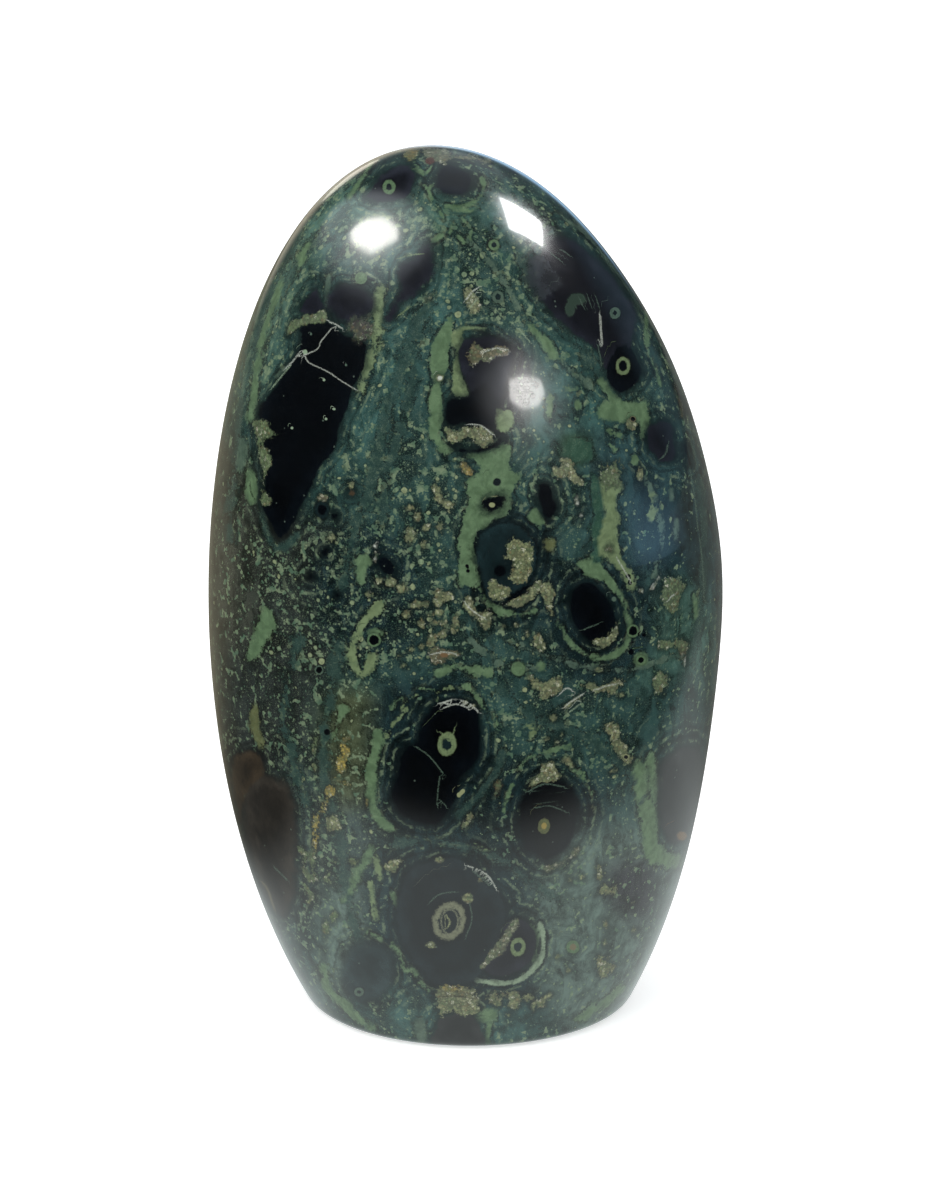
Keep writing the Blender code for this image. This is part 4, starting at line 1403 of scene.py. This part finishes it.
def panel(name, corners, radiance, tone=(1, 1, 1), soft=0.02, far=900.0, diffuse=False):
    """A softbox whose mirror image falls on the given outline of the frame."""
    mid = np.mean(corners, 0)
    p0, r0 = under_pixel(*mid)
    centre = p0 + far * r0
    side_x = np.cross(r0, [0, 0, 1.0])
    side_x /= np.linalg.norm(side_x)
    side_y = np.cross(side_x, r0)
    flat = []
    for q in corners:
        p, r_ = under_pixel(*q)
        t = ((centre - p) @ r0) / (r_ @ r0)
        h = p + t * r_ - centre
        flat.append([h @ side_x, h @ side_y])
    flat = np.array(flat)
    low, high = flat.min(0) - soft * far, flat.max(0) + soft * far
    lamp = bpy.data.lights.new(name, "AREA")
    lamp.shape = "RECTANGLE"
    lamp.size, lamp.size_y = float(high[0] - low[0]) * MM, float(high[1] - low[1]) * MM
    lamp.energy = radiance * math.pi * lamp.size * lamp.size_y * math.pi / math.pi
    lamp.color = tone
    obj = bpy.data.objects.new(name, lamp)
    bpy.context.scene.collection.objects.link(obj)
    mid_xy = (low + high) / 2
    at_ = (centre + side_x * mid_xy[0] + side_y * mid_xy[1]) * MM
    zaxis = Vector(r0)                       # the lamp shines along its own -Z, back at the stone
    xaxis = Vector(side_x)
    yaxis = zaxis.cross(xaxis)
    m = Matrix((xaxis, yaxis, zaxis)).transposed().to_4x4()
    m.translation = Vector(at_)
    obj.matrix_world = m
    obj.visible_camera = False
    obj.visible_diffuse = diffuse
    lamp.use_nodes = True
    lg_ = Graph(lamp.node_tree)
    em = lg_.new("ShaderNodeEmission")
    pos = lg_.vmath("SUBTRACT", lg_.new("ShaderNodeNewGeometry").outputs["Position"], tuple((centre * MM).tolist()))
    x = lg_.vmath("DOT_PRODUCT", pos, tuple((side_x / MM).tolist()))
    y = lg_.vmath("DOT_PRODUCT", pos, tuple((side_y / MM).tolist()))
    area = 0.5 * np.sum(flat[:, 0] * np.roll(flat[:, 1], -1) - flat[:, 1] * np.roll(flat[:, 0], -1))
    ring = flat if area > 0 else flat[::-1]
    k = None
    for a, b in zip(ring, np.roll(ring, -1, 0)):
        e = (b - a) / max(np.linalg.norm(b - a), 1e-6)
        # distance inside this edge
        d = lg_.math("ADD", lg_.math("MULTIPLY", x, float(-e[1])), lg_.math("MULTIPLY", y, float(e[0])))
        d = lg_.math("ADD", d, float(e[1] * a[0] - e[0] * a[1]))
        s = lg_.step(d, -soft * far, soft * far)
        k = s if k is None else lg_.math("MULTIPLY", k, s)
    lg_.put(em.inputs["Strength"], k)
    lg_.put(lg_.new("ShaderNodeOutputLight").inputs["Surface"], em.outputs[0])
    return obj


panel("upper_left_box", [(350, 232), (362, 221), (385, 217), (398, 228), (398, 240), (372, 255), (352, 244)], 15.0, (1.0, 0.97, 0.90), 0.030)
panel("upper_left_glow", [(318, 236), (338, 200), (385, 190), (430, 208), (428, 252), (380, 292), (336, 276)], 1.4, (0.86, 0.94, 1.0), 0.11)
panel("front_glow", [(478, 392), (498, 352), (532, 346), (568, 372), (570, 408), (536, 444), (498, 436)], 0.9, (0.92, 0.96, 1.0), 0.10)
panel("upper_right_box", [(499, 197), (541, 222), (543, 247), (509, 229)], 26.0, (1.0, 1.0, 1.0), 0.006)
panel("front_box", [(509, 380), (524, 375), (541, 380), (545, 394), (538, 407), (522, 409), (510, 400)], 13.0, (1.0, 0.98, 0.94), 0.013)
panel("top_glow", [(405, 160), (440, 150), (486, 152), (512, 182), (468, 200), (410, 192)], 0.40, (0.86, 0.95, 1.0), 0.12)
panel("side_glow", [(626, 508), (660, 498), (680, 524), (668, 572), (642, 580), (630, 556)], 1.6, (0.32, 0.62, 0.86), 0.12)


def softbox(name, az, el, far, size, radiance, tone=(1, 1, 1), diffuse=True, glossy=True):
    lamp = bpy.data.lights.new(name, "AREA")
    lamp.shape = "DISK"
    lamp.size = size
    lamp.energy = radiance * math.pi * (math.pi * size * size / 4)
    lamp.color = tone
    obj = bpy.data.objects.new(name, lamp)
    bpy.context.scene.collection.objects.link(obj)
    aim = Vector((0, 0, 0.075))
    d = direction(az, el)
    obj.location = aim + d * far
    obj.rotation_euler = d.to_track_quat("Z", "Y").to_euler()
    obj.visible_camera = False
    obj.visible_diffuse = diffuse
    obj.visible_glossy = glossy
    return obj


softbox("key", -38, 48, 1.6, 1.0, 3.0, (1.0, 0.99, 0.97), True, False)
softbox("back_box", -158, 20, 1.6, 0.40, 1.6, (1.0, 0.92, 0.78), False, True)

camera_data = bpy.data.cameras.new("camera")
camera_data.sensor_width = 36.0
camera_data.lens = FOCAL / 1200.0 * 36.0
camera_data.clip_start = 0.01
camera = bpy.data.objects.new("camera", camera_data)
bpy.context.scene.collection.objects.link(camera)
camera.location = Vector(EYE * MM)
camera.rotation_euler = (math.radians(90.0) - VIEW_UP, 0.0, 0.0)
bpy.context.scene.camera = camera
bpy.context.scene.view_settings.view_transform = "Standard"
